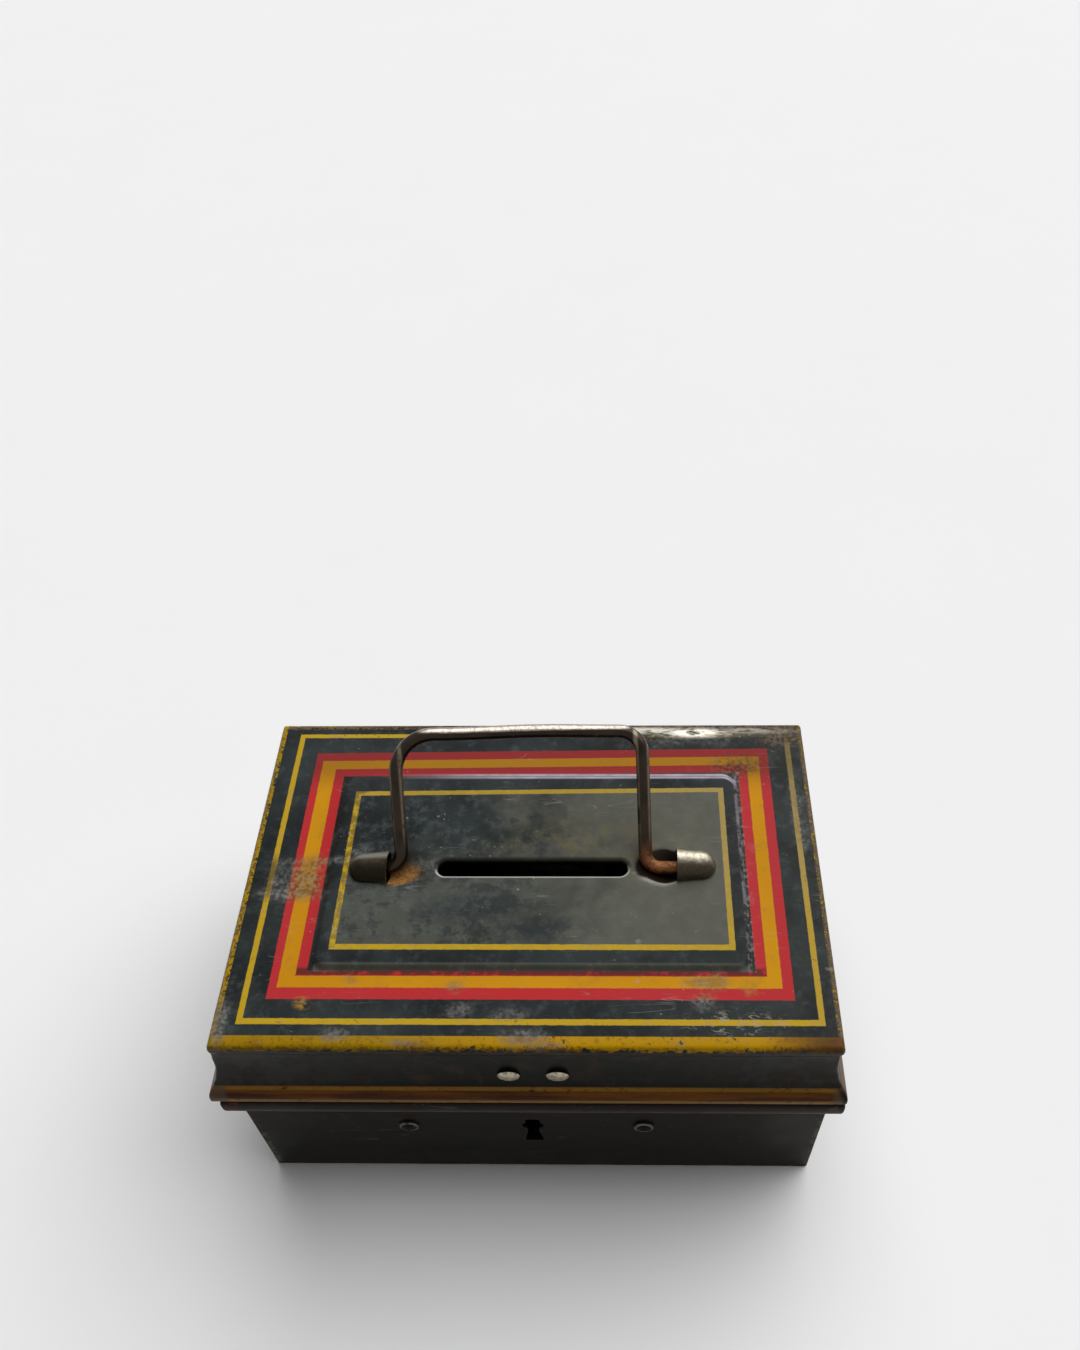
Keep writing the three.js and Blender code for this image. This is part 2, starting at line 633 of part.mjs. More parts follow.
// A shouldered pin riveted through the back of the lock case; the bolt runs between its collar and its head.
function makeGuidePin(name, place) {
  const boltRear = lockBack - boltY - boltPlate / 2;
  const collarEnd = boltRear - gap;
  const headStart = boltRear + boltPlate + gap;
  const collarStart = lockSheet + gap;
  const headEnd = headStart + guidePinHeadHeight;
  const profile = [
    [0, -gap - rivetTailHeight], [guidePinHeadRadius, -gap - rivetTailHeight], [guidePinHeadRadius, -gap],
    [keyPostRadius, -gap], [keyPostRadius, collarStart], [guidePinHeadRadius, collarStart],
    [guidePinHeadRadius, collarEnd], [guidePinRadius, collarEnd], [guidePinRadius, headStart],
    [guidePinHeadRadius, headStart], [guidePinHeadRadius, headEnd], [0, headEnd]];
  return steel(name, turned(profile, pinSides, place, frontOutward));
}

// The post that a barrel key fits over, seen through the keyhole.
function makeKeyPost() {
  const collarStart = lockSheet + gap;
  const collarEnd = collarStart + keyPostRadius;
  const tip = lockBack + halfDepth - keyPostSetback;
  const profile = [
    [0, -gap - rivetTailHeight], [keyPostCollarRadius, -gap - rivetTailHeight], [keyPostCollarRadius, -gap],
    [keyPostRadius, -gap], [keyPostRadius, collarStart], [keyPostCollarRadius, collarStart],
    [keyPostCollarRadius, collarEnd], [keyPostRadius, collarEnd], [keyPostRadius, tip - keyPostRadius / 2],
    [keyPostRadius / 2, tip], [0, tip]];
  return steel('key_post', turned(profile, pinSides, keyPostPlace, frontOutward));
}

// A bent strip between the top of the bolt and the corner of the lock case.
function makeSpring() {
  const wallX = lockRight - lockSheet - gap - springThickness / 2;
  const top = lockBoxTop - lockSheet - gap - springThickness / 2;
  const low = boltTop + gap + springThickness / 2;
  const span = wallX - (catchLeft + catchWidth + springClearance);
  const path = springShares.map(([across, up]) => [wallX - span * across, low + (top - low) * up]);
  const halfPlate = boltPlate / 2;
  return steel('bolt_spring', plateXZ(strip(path, springThickness), boltY - halfPlate, boltY + halfPlate));
}

const eyeMiddle = hingeEyeRadius - hingeLeaf / 2;
const leafOut = gap + hingeLeaf / 2;
const middleKnuckle = hingeWidth * middleKnuckleShare;
const endKnuckle = (hingeWidth - middleKnuckle) / 2;

// One rolled eye round the pin with the tongue that joins it to its leaf.
function knuckle(x0, x1, tonguePath) {
  const eye = rod(hingeEyeRadius, 0, x1 - x0, roundSides, [x0, hingeY, hingeZ], alongX);
  return eye.add(plateYZ(strip(tonguePath.map(onRear), hingeLeaf), x0, x1));
}

function pinBore(centre) {
  const reach = hingeWidth / 2 + overrun;
  return rod(hingeBoreRadius, -reach, reach, roundSides, [centre, hingeY, hingeZ], alongX);
}

// The body leaf climbs the rear wall through a gap in the ledge and carries the two outer knuckles.
function makeBodyLeaf(name, centre) {
  const under = hingeZ - eyeMiddle;
  const leafEnd = [hingeReach * leafEndShare, under];
  const path = [
    [leafOut, hingeZ - hingeLeafBottom], [leafOut, under - leafBend], [leafOut + leafBend, under], leafEnd];
  const tongue = [leafEnd, [hingeReach, under]];
  const left = centre - hingeWidth / 2;
  const right = centre + hingeWidth / 2;
  const leaf = plateYZ(strip(path.map(onRear), hingeLeaf), left, right)
    .add(knuckle(left, left + endKnuckle - gap, tongue))
    .add(knuckle(right - endKnuckle + gap, right, tongue))
    .subtract(pinBore(centre));
  return paintedBlack(name, punched(leaf, hingeRivets(centre).body));
}

// The lid leaf follows the skirt and carries the middle knuckle, whose nib stops the lid on the body leaf.
function makeLidLeaf(name, centre) {
  const half = hingeWidth / 2;
  const path = offsetOutline(lidOutline, leafOut).slice(rivetRunStart, leafRunEnd);
  const leafEnd = path[path.length - 1];
  const tongue = [leafEnd, [hingeReach - eyeMiddle, hingeZ + eyeMiddle * tongueShare]];
  const left = centre - middleKnuckle / 2;
  const nib = new THREE.BoxGeometry(middleKnuckle, hingeLeaf, nibReach - hingeBoreRadius);
  nib.translate(0, 0, (nibReach + hingeBoreRadius) / 2);
  nib.rotateX(-THREE.MathUtils.degToRad(nibAngle));
  nib.translate(centre, hingeY, hingeZ);
  const leaf = plateYZ(strip(path.map(onRear), hingeLeaf), centre - half, centre + half)
    .add(knuckle(left, left + middleKnuckle, tongue))
    .add(solid(nib))
    .subtract(pinBore(centre));
  return paintedBlack(name, punched(leaf, hingeRivets(centre).lid));
}

function makeHingePin(name, centre) {
  const reach = hingeWidth / 2 + gap;
  const head = pinHeadShares.map(([out, along]) => [
    out * hingePinHeadRadius, reach + along * hingePinRadius]);
  const half = [[hingePinRadius, reach], ...head];
  const profile = [...half.map(([out, along]) => [out, -along]).reverse(), ...half];
  return steel(name, turned(profile, pinSides, [centre, hingeY, hingeZ], alongX));
}

// The middle line of a bent wire: straight runs joined by arcs, with a station at every change of direction.
function bentRoute(corners, radii) {
  const turnsPerBend = 6;
  const stations = [corners[0].clone()];
  for (let i = 1; i < corners.length - 1; i += 1) {
    const back = corners[i - 1].clone().sub(corners[i]).normalize();
    const ahead = corners[i + 1].clone().sub(corners[i]).normalize();
    const half = back.angleTo(ahead) / 2;
    const radius = radii[i - 1];
    const centre = corners[i].clone().add(
      back.clone().add(ahead).normalize().multiplyScalar(radius / Math.sin(half)));
    const from = corners[i].clone().addScaledVector(back, radius / Math.tan(half)).sub(centre);
    const to = corners[i].clone().addScaledVector(ahead, radius / Math.tan(half)).sub(centre);
    const axis = from.clone().cross(to).normalize();
    const sweep = from.angleTo(to);
    for (let k = 0; k <= turnsPerBend; k += 1) {
      stations.push(from.clone().applyAxisAngle(axis, sweep * k / turnsPerBend).add(centre));
    }
  }
  stations.push(corners[corners.length - 1].clone());
  return stations;
}

// A curve that visits its stations one step at a time, whatever their distance.
const roundingShare = 1e-9;
class StationCurve extends THREE.Curve {
  constructor(stations) {
    super();
    this.stations = stations;
  }

  getPointAt(share) {
    const last = this.stations.length - 1;
    const whole = Math.min(Math.floor(share * last + roundingShare), last - 1);
    return this.stations[whole].clone().lerp(this.stations[whole + 1], share * last - whole);
  }

  getTangentAt(share) {
    const last = this.stations.length - 1;
    const near = Math.round(share * last);
    const before = this.stations[Math.max(near - 1, 0)];
    const after = this.stations[Math.min(near + 1, last)];
    return after.clone().sub(before).normalize();
  }
}

// The bail stands upright over its pivot line here, and is leant back where it is placed.
function makeBail() {
  const half = bailWidth / 2;
  const corners = [
    [-half - bailStub, 0], [-half, 0], [-half, bailReach - bailDroop], [half, bailReach], [half, 0],
    [half + bailStub, 0]].map(([x, z]) => new THREE.Vector3(x, 0, z));
  const stations = bentRoute(corners, [bailFootRadius, bailLeftRadius, bailRightRadius, bailFootRadius]);
  const section = new THREE.Shape();
  section.absarc(0, 0, wireRadius, 0, Math.PI * 2, false);
  const geometry = new THREE.ExtrudeGeometry(section, {
    steps: stations.length - 1, curveSegments: wireSides / 2, bevelEnabled: false,
    extrudePath: new StationCurve(stations) });
  const bail = wire('bail_handle', solid(geometry));
  bail.position.set(bailShift, hoodShiftBack, pivotZ);
  bail.rotation.x = -THREE.MathUtils.degToRad(90 - bailLean);
  return bail;
}

const sideWords = ['left', 'right'];

// Leaves, pin and rivets of one hinge, each added to the half that it moves with.
function addHinge(halves, centre, word) {
  const makeLeaf = { box: makeBodyLeaf, lid: makeLidLeaf };
  const part = { box: 'body', lid: 'lid' };
  Object.entries(halves).forEach(([half, group]) => {
    group.add(makeLeaf[half](`hinge_${word}_${part[half]}_leaf`, centre));
    hingeRivets(centre)[part[half]].forEach(({ place, outward }, i) => {
      const seat = place.map((value, axis) => value + outward[axis] * (gap + hingeLeaf));
      const rivet = domedRivet(sheet + gap + hingeLeaf, seat, outward);
      group.add(steel(`hinge_${word}_${part[half]}_rivet_${i + 1}`, rivet));
    });
  });
  halves.box.add(makeHingePin(`hinge_${word}_pin`, centre));
}

const box = new THREE.Group();
const lid = new THREE.Group();
box.add(makeBody(), makePan(), makeLockCase(), makeBolt(), makeSpring(), makeKeyPost());
lid.add(makeLid(), makeCatch());
sideWords.forEach((word, i) => {
  const inCase = tubularRivet(sheet + gap + lockSheet, lockRivets[i].place, lockRivets[i].outward);
  const inCatch = domedRivet(sheet + gap + catchPlate, catchRivets[i].place, catchRivets[i].outward);
  box.add(makeGuidePin(`guide_pin_${word}`, guidePins[i]), barePlate(`lock_rivet_${word}`, inCase));
  lid.add(barePlate(`catch_rivet_${word}`, inCatch));
  addHinge({ box, lid }, hingeCentres[i], word);
});

const moneyBox = new THREE.Group();
moneyBox.add(box, lid, makeBail());

export default moneyBox;
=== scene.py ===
import math
from functools import partial, reduce
from types import SimpleNamespace

import bmesh
import bpy
from mathutils import Matrix, Vector
from mathutils.geometry import delaunay_2d_cdt


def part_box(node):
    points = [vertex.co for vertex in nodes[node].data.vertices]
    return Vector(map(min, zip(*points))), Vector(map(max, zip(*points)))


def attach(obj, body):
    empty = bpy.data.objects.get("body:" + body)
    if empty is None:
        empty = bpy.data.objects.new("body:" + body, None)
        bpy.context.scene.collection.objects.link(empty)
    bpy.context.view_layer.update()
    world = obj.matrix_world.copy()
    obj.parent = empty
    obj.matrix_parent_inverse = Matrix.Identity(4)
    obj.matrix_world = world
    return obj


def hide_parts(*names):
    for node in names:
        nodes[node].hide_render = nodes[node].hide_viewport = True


# Dresses a tinplate money box: finer sheet metal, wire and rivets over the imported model, painted and worn.
# Sizes are millimetres in the model's frame; MM turns them into metres.

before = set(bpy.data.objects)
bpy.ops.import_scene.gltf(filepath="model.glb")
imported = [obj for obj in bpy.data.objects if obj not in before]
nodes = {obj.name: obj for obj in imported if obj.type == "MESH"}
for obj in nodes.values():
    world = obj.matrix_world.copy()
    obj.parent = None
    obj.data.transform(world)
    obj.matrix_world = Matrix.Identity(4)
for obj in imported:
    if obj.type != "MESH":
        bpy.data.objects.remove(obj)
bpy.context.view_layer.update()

MM = 0.001

SLIVER = 0.001  # smaller triangles are dropped
MERGE = 0.004  # closer points are joined
CLEAR = 2  # how far a cutter reaches past the sheet

# Sheet metal; lid and body are hand-folded and sit a little to the left of their paint
LID_HALF_WIDTH = 76.4
LID_X = -0.7
BODY_HALF_WIDTH = 76.7
BODY_X = -0.3
HALF_DEPTH = 51
SHEET = 0.6
SHOULDER_CORNER = 0.9
FLARE_CORNER = 0.5
SHOULDER_Z = 76.2
LIP_Z = 52.4
FLARE = 3.5
LEFT_LEAN = 0.9  # how far the left side leans out below the shoulder
LEAN_TOP = SHOULDER_Z - 2
LEAN_HEIGHT = 6
REAR_BULGE = 1.4  # how far the rear shoulder is pressed out
BULGE_FOOT = SHOULDER_Z - 8
BULGE_HEIGHT = 5
LEDGE_SIDES = 0.8  # the ledge stands out less at the sides
SEAM_Z = 51.2
LEDGE_DROP = 5.7
NECK_Z = 57.03

PANEL_HALF_X = 55.3
PANEL_HALF_Y = 31.3
PANEL_SHIFT = 1
PANEL_RADIUS = 4
PANEL_Z = 77.4
PANEL_EDGE = (0.35, -1.45)  # the slope starts outside the outline and ends inside it

# Slot, hoods and dishes
FITTINGS_X = -0.8
SLOT_LENGTH = 50.6
SLOT_WIDTH = 4.8
SLOT_ROLL = 0.75
SLOT_DROP = 1.9
HOOD_MOUTH = 38.2
HOOD_LENGTH = 10.2
HOOD_NOSE = 3.6
HOOD_RADII = (5, 4.3)  # at the mouth and where the nose starts
HOOD_SQUASH = {-1: 0.76, 1: 1}  # the left hood has been pressed flatter
HOOD_SHIFT = {-1: -0.8, 1: 0}  # and a little to the front
HOOD_Y = 0.5
HOOD_FILLET = 0.8
DISH_LENGTH = 13
DISH_HALF_WIDTH = 7.4
DISH_DEPTH = 3.3

# Open corners of flare and ledge
NOTCH_WIDTH = 0.45
NOTCH_INSET = 3.2
NOTCH_HEIGHT = 9.5
NOTCH_LENGTH = 13

# Wire handle
WIRE_RADIUS = 1.8
BAIL_WIDTH = 64.8
BAIL_SHIFT = -3.1
BAIL_REACH = 36.5
BAIL_STUB = 12
BAIL_RADII = (4, 10.5, 6.2, 4)
BAIL_LEAN = 42
BAIL_DROOP = 1
BAIL_SKEW = (-2.2, -1.1)  # how far the tops of the two legs have been pushed over
BAIL_WAVE = 0.22
PIVOT_Z = 76.8

# Keyhole, lock rivets and hinges
KEYHOLE_X = -1.1
KEYHOLE_TOP = 33.2
KEYHOLE_HEIGHT = 14
KEYHOLE_WIDTH = 5.4
HINGE_X = 42
HINGE_HALF = 11.3
RIVET_RADIUS = 2.85
RIVET_HEIGHT = 1.1
WORN_RIVET_HEIGHT = 0.9
SHANK_RADIUS = 1.3
CLINCH_RADIUS = 2.1
STACK = 1.7  # the sheets that a rivet holds
CATCH_STACK = 2.1
CATCH_OUTWARD = (0, -0.995, -0.1)
LID_HINGE_OUTWARD = (0, 0.9551, 0.2964)

# Outlines of the lid's skirt, the body's ledge and half the keyhole, as shares: outwards, then down
LID_PROFILE = [
    (-0.75, 0), (-0.2, 0.014), (0, 0.05), (0.05, 0.1), (0, 0.15), (-0.08, 0.2), (-0.1, 0.3), (-0.05, 0.43),
    (0.03, 0.53), (0.12, 0.6), (0.33, 0.72), (0.7, 0.82), (0.93, 0.89), (1, 0.95), (1, 1)]
LEDGE_PROFILE = [
    (0, 0.56), (0.58, 0.58), (0.6, 0.86), (0.72, 1), (0.9, 0.96), (1, 0.76), (1.01, 0.3), (0.93, 0.07),
    (0.76, 0), (0, 0)]
KEYHOLE_PROFILE = [
    (0.2, 0), (0.32, 0.03), (0.37, 0.1), (0.37, 0.17), (0.52, 0.22), (0.54, 0.28), (0.5, 0.34), (0.36, 0.4),
    (0.28, 0.47), (0.28, 0.57), (0.34, 0.7), (0.45, 0.92), (0.45, 1)]

# Paint: colours as on a screen, 0 to 255
PAINT_SOFT = 0.12
REAR_SLANT = 0.0125  # how far the painted lines at the back slant, for each millimetre to the right
SLATE = (40, 46, 46)
INK = (19, 23, 23)
PALE_YELLOW = (152, 134, 84)
DUST = (150, 148, 142)
DARK_RUST = (70, 40, 26)
DULL_PLATE = (104, 98, 84)
DISH_MARK_SHIFT = {-1: 1.2, 1: 0}  # the left dish is stained towards the front
DISH_MARK_REACH = {-1: 0.6, 1: 1}  # as a share of the dish

# Places on the lid where the paint is rubbed: x, y, reach along x and y, and how much is gone
SCUFFS = [
    (-60.5, 2.7, 13, 2, 0.65), (-64, -7.2, 9, 3.4, 0.75), (-64.5, -2.5, 9, 7, 0.6),
    (-47, 5, 6, 2.6, 0.5), (-18.7, -34.5, 3.4, 2.4, 0.55), (-17, -41, 4.4, 3, 0.6),
    (-4.5, -42, 5, 3, 0.6), (-1, -48, 6.5, 2.6, 0.65), (-47, -48, 5, 2.2, 0.6),
    (-44.5, -33, 3.4, 1.8, 0.5), (-29.8, -49.6, 6, 1.5, 0.5), (44, -33.3, 7.4, 2.6, 0.7),
    (42.5, -38.8, 4, 3.4, 0.6), (3.2, -50, 9, 1.3, 0.5), (36.4, -49.8, 3, 1.4, 0.5),
    (-75, -43, 2.6, 8.5, 0.7), (-29.5, 0.8, 4.5, 2.4, 0.6), (40, 45.6, 24, 3.4, 0.45),
    (70, 46, 7, 6, 0.5), (72, 20, 3, 26, 0.5)]

# The photograph's camera: turned down, aside and tilted in degrees; focal length and shift in its pixels
CAMERA_TURN = (51.04, -1.86, -1.5)
CAMERA_PLACE = (20.62, -170.17, 325.01)
SENSOR = 36
PHOTO_HEIGHT = 1350
FOCAL_PIXELS = 1131.1
SHIFT_PIXELS = (-50, 105)

# Light, and the floor's size in metres
FLOOR_SIZE = 8
LIGHT_FROM = (0.3, 0.42, 0.8)
KEY_SPREAD = 80
KEY_POWER = 3.66
FILL_DARK = 0.108
FILL_LIGHT = 0.6


# Shapes

def arc(steps, sweep=math.pi / 2):
    """Angles from 0 up to the sweep, in even steps."""
    return [sweep * k / steps for k in range(steps + 1)]


def smooth_line(points, steps):
    """Points of a smooth curve through the given ones."""
    ends = [points[0]] + list(points) + [points[-1]]
    line = []
    for before, start, end, after in zip(ends, ends[1:], ends[2:], ends[3:]):
        for i in range(steps):
            t = i / steps
            line.append(tuple(
                0.5 * (2 * b + (c - a) * t + (2 * a - 5 * b + 4 * c - d) * t ** 2
                       + (3 * b - a - 3 * c + d) * t ** 3)
                for a, b, c, d in zip(before, start, end, after)))
    return line + [tuple(points[-1])]


def box_ring(half_x, half_y, radius, z, shift=(0, 0), turns=8, along=(40, 28)):
    """A rounded rectangle whose points lie in the same order on every ring."""
    def corner_point(corner, turn):
        sx, sy = ((1, 1), (-1, 1), (-1, -1), (1, -1))[corner % 4]
        angle = (corner + turn) * math.pi / 2
        return (sx * (half_x - radius) + radius * math.cos(angle) + shift[0],
                sy * (half_y - radius) + radius * math.sin(angle) + shift[1], z)

    ring = []
    for corner in range(4):
        ring += [corner_point(corner, i / turns) for i in range(turns + 1)]
        start, end = Vector(ring[-1]), Vector(corner_point(corner + 1, 0))
        count = along[corner % 2]
        ring += [tuple(start.lerp(end, i / count)) for i in range(1, count)]
    return ring


def lid_ring(out, z):
    """The lid's outline at one height, with sharper corners where it flares out."""
    share = min(1, max(0, out / FLARE))
    radius = SHOULDER_CORNER + (FLARE_CORNER - SHOULDER_CORNER) * share + min(0, out)
    lean = LEFT_LEAN / 2 * min(1, max(0, (LEAN_TOP - z) / LEAN_HEIGHT))
    bulge = REAR_BULGE / 2 * min(1, max(0, (z - BULGE_FOOT) / BULGE_HEIGHT))
    return box_ring(LID_HALF_WIDTH + lean + out, HALF_DEPTH + bulge + out, max(radius, FLARE_CORNER), z,
                    (LID_X - lean, bulge))


def body_ring(out, z):
    sides = out * LEDGE_SIDES if out > 0 else out
    return box_ring(BODY_HALF_WIDTH + sides, HALF_DEPTH + out, FLARE_CORNER, z, (BODY_X, 0))


def panel_ring(out, z):
    return box_ring(PANEL_HALF_X + out, PANEL_HALF_Y + out, PANEL_RADIUS + out, z, (0, PANEL_SHIFT))


def add_object(name, data):
    obj = bpy.data.objects.new(name, data)
    bpy.context.scene.collection.objects.link(obj)
    return obj


class Skin:
    """Points and faces of one sheet, gathered ring by ring."""

    def __init__(self):
        self.points = []
        self.faces = []

    def add(self, points):
        start = len(self.points)
        self.points += [tuple(p) for p in points]
        return range(start, len(self.points))

    def loft(self, rings, closed=True):
        rows = [self.add(ring) for ring in rings]
        for low, high in zip(rows, rows[1:]):
            count = len(low)
            for i in range(count if closed else count - 1):
                j = (i + 1) % count
                self.faces.append((low[i], low[j], high[j], high[i]))
        return rows

    def solid_loft(self, rings):
        """A loft whose first and last ring are closed by flat faces."""
        rows = self.loft(rings)
        self.faces += [tuple(rows[0]), tuple(rows[-1])]

    def build(self, name):
        mesh = bpy.data.meshes.new(name)
        mesh.from_pydata([tuple(c * MM for c in p) for p in self.points], [], self.faces)
        work = bmesh.new()
        work.from_mesh(mesh)
        bmesh.ops.remove_doubles(work, verts=work.verts, dist=MERGE * MM)
        bmesh.ops.dissolve_degenerate(work, edges=work.edges, dist=MERGE * MM / 4)
        bmesh.ops.recalc_face_normals(work, faces=work.faces)
        work.to_mesh(mesh)
        work.free()
        return add_object(name, mesh)


def prism(name, outline, direction, depth):
    """A cutter: an outline of points, pushed along a direction."""
    skin = Skin()
    skin.solid_loft([outline, [Vector(p) + Vector(direction) * depth for p in outline]])
    return skin.build(name)


def block(name, low, high):
    (x0, y0, z0), (x1, y1, z1) = low, high
    return prism(name, [(x0, y0, z0), (x1, y0, z0), (x1, y1, z0), (x0, y1, z0)], (0, 0, 1), z1 - z0)


def cut(obj, cutters):
    """Cuts the cutters out of an object and removes them."""
    for cutter in cutters:
        change = obj.modifiers.new("cut", "BOOLEAN")
        change.operation = "DIFFERENCE"
        change.solver = "EXACT"
        change.object = cutter
    apply_changes(obj)
    for cutter in cutters:
        bpy.data.objects.remove(cutter)


def apply_changes(obj):
    made = bpy.data.meshes.new_from_object(obj.evaluated_get(bpy.context.evaluated_depsgraph_get()))
    obj.modifiers.clear()
    old = obj.data
    obj.data = made
    bpy.data.meshes.remove(old)


def corner_cutters(half_width, middle, top, bottom):
    """Wedges that open the two rear corners, wider towards the bottom, beside the diagonal."""
    made = []
    for sx, sy in ((-1, 1), (1, 1)):
        along = Vector((sx, sy, 0)).normalized()
        across = Vector((-sx, sy, 0)).normalized() * NOTCH_WIDTH
        start = Vector((sx * half_width + middle, sy * HALF_DEPTH, 0)) - along * NOTCH_INSET
        corners = ((start, top), (start, bottom - 1), (start + across, bottom - 1), (start + across, bottom))
        made.append(prism("notch", [spot + Vector((0, 0, z)) for spot, z in corners], along, NOTCH_LENGTH))
    return made


def finish_piece(obj, node, body, material, angle=35):
    """Lets a piece replace a node of the model; edges sharper than the angle stay sharp."""
    mesh = obj.data
    mesh.materials.clear()
    mesh.materials.append(material)
    mesh.shade_smooth()
    mesh.set_sharp_from_angle(angle=math.radians(angle))
    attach(obj, body)
    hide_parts(node)


def inside(point, loop):
    """Whether a flat point lies inside a closed loop."""
    x, y = point
    hit = False
    for (x0, y0), (x1, y1) in zip(loop, loop[1:] + loop[:1]):
        if (y0 > y) != (y1 > y) and x < (x1 - x0) * (y - y0) / (y1 - y0) + x0:
            hit = not hit
    return hit


def clearance(point, loop):
    x, y = point
    return min(math.hypot(x - a, y - b) for a, b in loop)


def fill_flat(skin, outer, holes, z, spacing=3.5, margin=1.3):
    """Fills the flat between an outer loop and its holes with even triangles."""
    def on_sheet(spot):
        return inside(spot, outer) and not any(inside(spot, hole) for hole in holes)

    loops = [outer] + holes
    points, edges = [], []
    for loop in loops:
        start = len(points)
        points += loop
        edges += [(start + i, start + (i + 1) % len(loop)) for i in range(len(loop))]
    half_x = max(x for x, _ in outer)
    half_y = max(y for _, y in outer)
    for i in range(int(-half_x / spacing), int(half_x / spacing) + 1):
        for j in range(int(-half_y / spacing), int(half_y / spacing) + 1):
            spot = ((i + 0.5 * (j % 2)) * spacing, j * spacing)
            if on_sheet(spot) and all(clearance(spot, loop) > margin for loop in loops):
                points.append(spot)
    made, _, faces, _, _, _ = delaunay_2d_cdt([Vector(p) for p in points], edges, [], 0, 1e-6)
    row = skin.add([(p.x, p.y, z) for p in made])
    for face in faces:
        a, b, c = (made[i] for i in face)
        if abs((b - a).cross(c - a)) > SLIVER and on_sheet((a + b + c) / 3):
            skin.faces.append(tuple(row[i] for i in face))


# The lid

def stadium(margin, z, turns=14, along=22):
    """The slot's outline, grown by a margin."""
    radius = SLOT_WIDTH / 2 + margin
    straight = (SLOT_LENGTH - SLOT_WIDTH) / 2
    angles = [angle - math.pi / 2 for angle in arc(turns, math.pi)]
    ring = []
    for side in (1, -1):
        middle = FITTINGS_X + side * straight
        ring += [(middle + side * radius * math.cos(a), side * radius * math.sin(a), z) for a in angles]
        ring += [(FITTINGS_X + side * straight * (1 - 2 * i / along), side * radius, z)
                 for i in range(1, along)]
    return ring


def hood_half_width(along):
    """Half the hood's width at a distance from its mouth."""
    straight = HOOD_LENGTH - HOOD_NOSE
    mouth, nose = HOOD_RADII
    if along <= straight:
        return mouth + (nose - mouth) * along / straight
    return nose * math.sqrt(max(0, 1 - ((along - straight) / HOOD_NOSE) ** 2))


def hood_reach(angle):
    """From the middle of the mouth to the hood's outline, in one direction from its axis."""
    low, high = 0, HOOD_LENGTH + HOOD_RADII[0]
    for _ in range(40):
        middle = (low + high) / 2
        along, across = middle * math.cos(angle), abs(middle * math.sin(angle))
        if along < HOOD_LENGTH and across < hood_half_width(along):
            low = middle
        else:
            high = middle
    return low


def spread(side, sign, rays):
    """Rows of points of a hood or a dish, one row for each direction from the middle of the mouth."""
    mouth = FITTINGS_X + side * HOOD_MOUTH
    rows = []
    for angle in (turn - math.pi / 2 for turn in arc(28, math.pi)):
        rows.append([(mouth + side * sign * reach * math.cos(angle),
                      HOOD_Y + HOOD_SHIFT[side] + reach * math.sin(angle),
                      PANEL_Z + height * (HOOD_SQUASH[side] if height > HOOD_FILLET else 1))
                     for reach, height in rays(angle)])
    return rows


def hood_rays(angle):
    """Distance and height along one ray of the hood, down to the fillet round its foot."""
    edge = hood_reach(angle)
    ray = []
    for reach in (edge * math.sin(a) for a in arc(12)):
        along, across = reach * math.cos(angle), reach * math.sin(angle)
        lift = math.sqrt(max(0, hood_half_width(along) ** 2 - across ** 2))
        if lift < HOOD_FILLET:
            break
        ray.append((reach, lift))
    return ray + [(edge + HOOD_FILLET * (1 - math.cos(a)), HOOD_FILLET * (1 - math.sin(a))) for a in arc(4)]


def dish_rays(angle):
    """Distance and depth along one ray of the dish, a soft bowl that is as wide as the hood at the mouth."""
    edge = 1 / math.hypot(math.cos(angle) / DISH_LENGTH, math.sin(angle) / DISH_HALF_WIDTH)
    mouth = HOOD_RADII[0] + HOOD_FILLET
    edge += (mouth - DISH_HALF_WIDTH) * abs(math.sin(angle)) ** 12
    steps = 16
    return [(edge * i / steps, -DISH_DEPTH * (0.5 + 0.5 * math.cos(math.pi * i / steps)))
            for i in range(steps + 1)]


def even_rows(rows):
    """Gives every row the same number of points, by repeating its first."""
    longest = max(len(row) for row in rows)
    return [[row[0]] * (longest - len(row)) + row for row in rows]


def add_hood_and_dish(skin, side):
    hood = even_rows(spread(side, 1, hood_rays))
    dish = spread(side, -1, dish_rays)
    skin.loft(hood, closed=False)
    skin.loft(dish, closed=False)
    return [row[-1][:2] for row in hood] + [row[-1][:2] for row in reversed(dish)]


def lid_pressing():
    """The lid's outer face, from the lip up to the panel with its slot, hoods and dishes."""
    skin = Skin()
    profile = smooth_line([(out * FLARE, SHOULDER_Z - down * (SHOULDER_Z - LIP_Z))
                           for out, down in LID_PROFILE], 4)
    rings = [lid_ring(out, z) for out, z in reversed(profile)]
    start, end = PANEL_EDGE
    slope = [panel_ring(start + (end - start) * t, SHOULDER_Z + (PANEL_Z - SHOULDER_Z) * t * t * (3 - 2 * t))
             for t in (i / 9 for i in range(10))]
    between = [[tuple(Vector(a).lerp(Vector(b), share)) for a, b in zip(rings[-1], slope[0])]
               for share in (0.25, 0.5, 0.75)]
    skin.loft(rings + between + slope)

    roll = [(SLOT_ROLL * (1 - math.sin(a)), PANEL_Z - SLOT_ROLL * (1 - math.cos(a))) for a in arc(5)]
    lip = [stadium(out, z) for out, z in roll] + [stadium(0, PANEL_Z - SLOT_DROP)]
    skin.loft(lip)

    holes = [[p[:2] for p in lip[0]]] + [add_hood_and_dish(skin, side) for side in (-1, 1)]
    fill_flat(skin, [p[:2] for p in slope[-1]], holes, PANEL_Z)
    return skin.build("lid_pressing")


